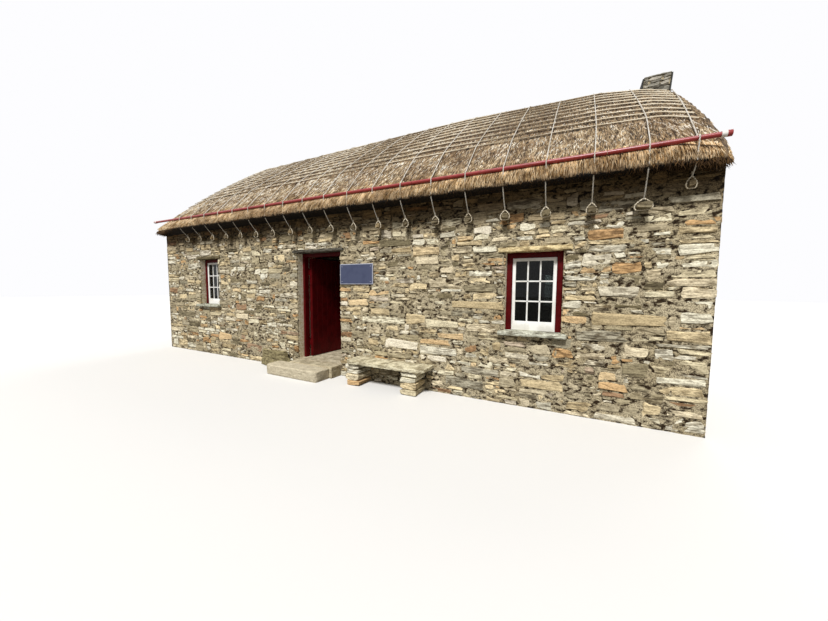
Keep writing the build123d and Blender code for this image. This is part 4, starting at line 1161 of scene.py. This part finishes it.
# %% Straws at the verges
VERGE_STRAWS = 6500
for side, name in ((-1, "left_verge_straws"), (1, "right_verge_straws")):
    rng = np.random.default_rng(80 + side)
    rings = np.full(VERGE_STRAWS, 0.0 if side < 0 else RINGS - 1.001)
    places = rng.uniform(1, across - 2, VERGE_STRAWS)
    share = rng.uniform(0.0, 0.97, VERGE_STRAWS)[:, None]
    top = from_grid(upper, rings, places)
    roots = top + (from_grid(lower, rings, places) - top) * share
    roots[:, 0] += side * (0.02 * np.sin(np.pi * share[:, 0]) - 0.01)
    outs = from_grid(outwards, rings, places) * (1 - share) + (0, 0, -0.15) * share + (0.6 * side, 0, 0)
    outs /= np.linalg.norm(outs, axis=1, keepdims=True)
    downs = from_grid(down_slope, rings, places) * np.where(roots[:, 1] < 0, -1, 1)[:, None]
    ways = downs * rng.uniform(0.5, 1.0, VERGE_STRAWS)[:, None] + (side * 0.15, 0, -0.2)
    ways /= np.linalg.norm(ways, axis=1, keepdims=True)
    lengths = rng.uniform(0.04, 0.09, VERGE_STRAWS)
    straws(name, roots, ways, outs, lengths, lengths * 0.06, straw_numbers(roots, rng, 0.45), 0.15, rng)

# %% [markdown]
# ## Ropes, lines and pegs
# Ropes cross the roof from a stone peg at the front to one at the back, over the eave poles, and
# thin lines run along the roof beneath them. Both are laid as curves with a lobed section that
# turns along its length, which gives the twist of a three-strand rope, and are then made meshes.

# %% Laying a rope


def rope_section(radius):
    """Section of a twisted rope: a closed curve with one lobe for each of three strands."""
    section = bpy.data.curves.new("rope section", "CURVE")
    section.dimensions = "2D"
    line = section.splines.new("POLY")
    line.points.add(5)
    for at, point in enumerate(line.points):
        reach, angle = radius * (1.0, 0.78)[at % 2], math.pi * at / 3
        point.co = (reach * math.cos(angle), reach * math.sin(angle), 0, 1)
    line.use_cyclic_u = True
    return new_object("rope section", section)


def lay_ropes(name, routes, radius, material, spacing, pitch, *replaced):
    """Twisted ropes along routes of points, rounded, evenly spaced and made one mesh."""
    section = rope_section(radius)
    curve = bpy.data.curves.new(name, "CURVE")
    curve.dimensions = "3D"
    curve.bevel_mode, curve.bevel_object = "OBJECT", section
    curve.use_fill_caps = True
    for route in routes:
        points = np.asarray(route, float)
        for _ in range(2):
            rounded = np.repeat(points[:-1] * 0.75 + points[1:] * 0.25, 2, axis=0)
            rounded[1::2] = points[:-1] * 0.25 + points[1:] * 0.75
            points = np.vstack((points[:1], rounded, points[-1:]))
        run = np.concatenate(([0], np.cumsum(np.linalg.norm(np.diff(points, axis=0), axis=1))))
        even = np.linspace(0, run[-1], int(run[-1] / spacing) + 1)
        points = np.column_stack([np.interp(even, run, points[:, axis]) for axis in range(3)])
        line = curve.splines.new("POLY")
        line.points.add(len(points) - 1)
        line.points.foreach_set("co", np.column_stack((points, np.ones(len(points)))).ravel())
        line.points.foreach_set("tilt", 2 * math.pi * even / pitch)
    piece = new_object(name, curve)
    only(piece)
    bpy.ops.object.convert(target="MESH")
    bpy.ops.object.shade_smooth_by_angle(angle=math.radians(50))
    bpy.data.objects.remove(section)
    print(name, "faces", len(piece.data.polygons))
    return dress(piece, name, material, "cottage", "pale_rope", *replaced)


def on_roof(xs, places, rise):
    """Points a rise above the roof's face, at xs along it and at places of the grid across it."""
    rings = np.interp(xs, ring_places, np.arange(RINGS))
    return from_grid(surface, rings, places) + from_grid(outwards, rings, places) * rise


# %% Lines along the roof
LINE_RADIUS, LINE_SEAT, LINE_STEP, WANDER = 0.0072, 0.0165, 0.12, 0.05
xs = np.arange(-VERGE + 0.03, stack_low.x - 0.01, LINE_STEP)
line_routes = [on_roof(xs, np.full(len(xs), HALF_POINTS - 1.0), LINE_SEAT)]
xs = np.arange(-VERGE + 0.03, VERGE - 0.03, LINE_STEP)
ridge_way = np.interp(xs, ring_places, half_run[:, 0])
for count in range(LINE_COUNT):
    for side in (-1, 1):
        wander = [noise.noise(Vector((x * 1.3, count * 7, side * 5))) * WANDER for x in xs]
        share = (ridge_way - crown_run - count * LINE_SPACING + wander) / ridge_way
        places = share * (HALF_POINTS - 1)
        line_routes.append(on_roof(xs, places if side < 0 else across - 1 - places, LINE_SEAT))
lay_ropes("lengthwise_lines_sisal", line_routes, LINE_RADIUS, tan_rope, 0.06, 9.0, "lengthwise_lines")

# %% Where the ropes run
ROPE_SEAT, POLE_RADIUS, POLE_RISE, POLE_SEAT = 0.0225, 0.024, 0.06, 0.0249
POLE_RUNS = ((-4.40, 1.92), (1.92, 4.30), (4.30, 4.90))
# Of each rope: its foot and its top along the roof, the share of the slope over which it leans from
# one to the other, and the rise of its peg over the others
ROPES = [(4.670 - 0.4889 * count, 4.740 - 0.530 * count, 1 / 3, 0.0) for count in range(19)]
ROPES.append((5.060, 5.325, 1.0, 0.185))
PEG_OUT, PEG_HALF_HEIGHT, PEG_LENGTH = 0.12, 0.035, 0.16


def peg_level(foot, raised):
    """Height of a peg: the row of pegs falls a little towards the chimney."""
    return 2.59 - 0.118 * foot / HALF_LENGTH + raised


def pole_seat(x):
    """Centre (y, z) of the front eave pole over one of the places where it bears on the thatch."""
    lip, shoulder = flank_ends(x)[1:3]
    flank = np.linalg.norm(shoulder - lip)
    along = (shoulder - lip) / flank
    out = np.array((-along[1], along[0])) * (POLE_SEAT + BULGE * 4 * POLE_RISE / flank)
    return lip + along * POLE_RISE + out


def pole_centre(x):
    """Centre of the pole anywhere: straight runs that reach on past their last seat."""
    first, last = next(run for run in POLE_RUNS if x < run[1] or run == POLE_RUNS[-1])
    start, end = pole_seat(first), pole_seat(last)
    return start + (end - start) * (x - first) / (last - first)


# %% Ropes over the roof
ROPE_RADIUS = 0.0078
rope_routes = []
for foot_x, top_x, leaning, raised in ROPES:
    foot = flank_ends(foot_x)[0]
    pole = pole_centre(foot_x)
    over = POLE_RADIUS + ROPE_RADIUS + 0.003
    start = np.array((
        (-HALF_WIDTH - PEG_OUT, peg_level(foot_x, raised) + PEG_HALF_HEIGHT + 0.035),
        (foot[0] + 0.004, foot[1] - 0.014),
        (foot[0] + 0.018, foot[1] + 0.06),
        *(pole + over * np.array((-math.cos(turn), math.sin(turn))) for turn in (0.0, 0.45, 0.9)),
    ))
    share = np.linspace(0.09, 1, 24)
    xs = foot_x + (top_x - foot_x) * np.minimum(share / leaning, 1)
    laid = on_roof(xs, share * (HALF_POINTS - 1), ROPE_SEAT)
    front = np.vstack((np.insert(start, 0, foot_x, axis=1), laid))
    rope_routes.append(np.vstack((front, front[-2::-1] * (1, -1, 1))))
lay_ropes("roof_ropes_twisted", rope_routes, ROPE_RADIUS, white_rope, 0.030, 0.11, "roof_ropes")

# %% Loops and pegs
OWN_HALF_WIDTHS = {4.670: 0.075, 5.060: 0.034}
LOOP_RADIUS, LOOP_GAP = 0.0075, 0.011
loop_routes = []
for node, side in (("front_pegs", -1), ("back_pegs", 1)):
    rng = np.random.default_rng(97)
    stones = []
    for foot_x, top_x, leaning, raised in ROPES:
        level, y = peg_level(foot_x, raised), side * (HALF_WIDTH + PEG_OUT)
        half = OWN_HALF_WIDTHS.get(foot_x, rng.uniform(0.040, 0.050))
        wide, tall = half + LOOP_GAP, PEG_HALF_HEIGHT + 0.010
        left_half = (
            (0, tall + 0.035), (-wide * 0.6, tall), (-wide, tall * 0.2), (-wide * 0.9, -tall),
        )
        ring = (*left_half, (0, -tall - 0.002), *((-x, z) for x, z in left_half[::-1]))
        loop_routes.append([(foot_x + x, y, level + z) for x, z in ring])
        loop_routes.append([(foot_x, y, level + tall + z) for z in (0.020, 0.045, 0.075)])
        along = foot_x + HALF_LENGTH
        stones.append((along - half, along + half, level - PEG_HALF_HEIGHT, level + PEG_HALF_HEIGHT))
    piece = build_stones(
        node, stones, (-HALF_LENGTH, side * (HALF_WIDTH + PEG_LENGTH), 0), (0, side, 0), 98 + side,
        [PEG_LENGTH] * len(stones), GREY_SHADES, joint=0.0, proud=0.0,
    )
    dress(piece, node + "_stone", split_schist, "cottage", "slab_stone", node)
lay_ropes("peg_loops", loop_routes, LOOP_RADIUS, tan_rope, 0.02, 0.09)

# %% [markdown]
# ## Poles, floor, timbers and glass
# These CAD pieces have the right shape, so they only get a better finish. The caps on the poles'
# ends also get eased edges, and a red tip beyond the white.

# %% Finishes on CAD pieces
CAD_FINISHES = {
    red_oxide: ("front_eave_pole", "back_eave_pole"),
    roof_timber: ("rafters", "collar_ties", "ridge_board"),
    flagstone: ("floor_slab", "threshold_slab"),
    window_glass: ("left_window_glass", "right_window_glass", "back_window_glass"),
}
for material, names in CAD_FINISHES.items():
    for node in names:
        nodes[node].data.materials[0] = material
RED_TIP = 0.038
caps = bevelled_node("eave_pole_caps", "eave_pole_caps_eased", white_tape, "cottage", "white_cap", 0.004)
cap_end = max(vertex.co.x for vertex in caps.data.vertices)
for side in (-1, 1):
    edit_all(caps)
    bpy.ops.mesh.bisect(plane_co=(side * (cap_end - RED_TIP), 0, 0), plane_no=(1, 0, 0))
    close_edit()
caps.data.materials.append(red_oxide)
for face in caps.data.polygons:
    face.material_index = int(abs(face.center.x) > cap_end - RED_TIP)
print("red tips", round(RED_TIP * 1000), "mm")

# %% [markdown]
# ## Windows
# Each sash has two upright and two level glazing bars, so nine panes. The bars are one small
# moulding wide and stand on both sides of the glass.

# %% Windows
HALF_BAR, HALF_BAR_DEPTH = 0.01, 0.015
for node in ("left_window_frame", "right_window_frame", "back_window_frames"):
    bevelled_node(node, node + "_eased", maroon_gloss, "cottage", "maroon_paint", 0.004)
for node in ("left_window_sash", "right_window_sash", "back_window_sashes"):
    bevelled_node(node, node + "_eased", white_gloss, "cottage", "white_paint", 0.003)
# The back's two panes of glass are one node, so a side of the house tells them apart
panes = [("left_window_glass", 0), ("right_window_glass", 0)]
panes += [("back_window_glass", -1), ("back_window_glass", 1)]
for number, (node, side) in enumerate(panes):
    spots = np.array([v.co for v in nodes[node].data.vertices if v.co.x * side >= 0])
    (left, front, foot), (right, back, head) = spots.min(axis=0).tolist(), spots.max(axis=0).tolist()
    near, far = (front + back) / 2 - HALF_BAR_DEPTH, (front + back) / 2 + HALF_BAR_DEPTH
    bars = []
    for share in (1, 2):
        x = left + (right - left) * share / 3
        bars.append(bar((x - HALF_BAR, near, foot), (x + HALF_BAR, far, head)))
        z = foot + (head - foot) * share / 3
        bars.append(bar((left, near, z - HALF_BAR), (right, far, z + HALF_BAR)))
    dress(joined(bars), "glazing_bars_%d" % number, white_gloss, "cottage", "white_paint")
print("glazed sashes", len(panes))

# %% [markdown]
# ## Door
# The leaf is boarded: seven boards with a narrow groove between them. The door stands open, so the
# boards are set on the closed leaf and then turned about the hinge with it.

# %% Door
HINGE, OPEN_ANGLE = Vector((-0.632, -2.249, 0)), math.radians(88)
LEAF_LEFT, LEAF_RIGHT, LEAF_LOW, LEAF_HIGH, LEAF_FRONT = -0.629, 0.297, 0.216, 2.152, -2.305
BOARDS, BOARD_THICK, GROOVE = 7, 0.012, 0.004
boards = []
pitch = (LEAF_RIGHT - LEAF_LEFT) / BOARDS
for count in range(BOARDS):
    left = LEAF_LEFT + count * pitch
    boards.append(bar(
        (left + GROOVE / 2, LEAF_FRONT - BOARD_THICK, LEAF_LOW),
        (left + pitch - GROOVE / 2, LEAF_FRONT + 0.001, LEAF_HIGH), 0.0035,
    ))
piece = joined(boards)
opened = Matrix.Translation(HINGE) @ Matrix.Rotation(OPEN_ANGLE, 4, "Z") @ Matrix.Translation(-HINGE)
piece.data.transform(opened)
dress(piece, "door_boards", maroon_gloss, "door", "maroon_paint")
nodes["door_leaf"].data.materials[0] = maroon_gloss
nodes["door_frame"].data.materials[0] = maroon_gloss
print("boards", BOARDS)

# %% [markdown]
# ## Sign
# A thin enamelled plate with a pale edge and a screw near each corner. It stays bare.

# %% Sign
RIM, SCREW_INSET, SCREW_RADIUS, SCREW_HEIGHT = 0.012, 0.045, 0.007, 0.004
sign_low, sign_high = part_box("sign_board")
plate = bar(sign_low, sign_high, 0.003)
dress(plate, "sign_plate", sign_edge, "cottage", "sign_blue", "sign_board")
face = bar(
    (sign_low.x + RIM, sign_low.y - 0.0015, sign_low.z + RIM),
    (sign_high.x - RIM, sign_low.y + 0.004, sign_high.z - RIM), 0.001,
)
dress(face, "sign_face", sign_blue, "cottage", "sign_blue")
screws = []
for x in (sign_low.x + SCREW_INSET, sign_high.x - SCREW_INSET):
    for z in (sign_low.z + SCREW_INSET, sign_high.z - SCREW_INSET):
        bpy.ops.mesh.primitive_cylinder_add(
            vertices=12, radius=SCREW_RADIUS, depth=SCREW_HEIGHT,
            location=(x, sign_low.y - 0.003, z), rotation=(math.pi / 2, 0, 0),
        )
        screw = bpy.context.object
        bpy.ops.object.transform_apply(location=True, rotation=True, scale=False)
        edit_all(screw)
        bpy.ops.mesh.bevel(offset=0.001, segments=1)
        close_edit()
        screws.append(screw)
dress(joined(screws), "sign_screws", sign_edge, "cottage", "sign_blue")
print("screws", len(screws))
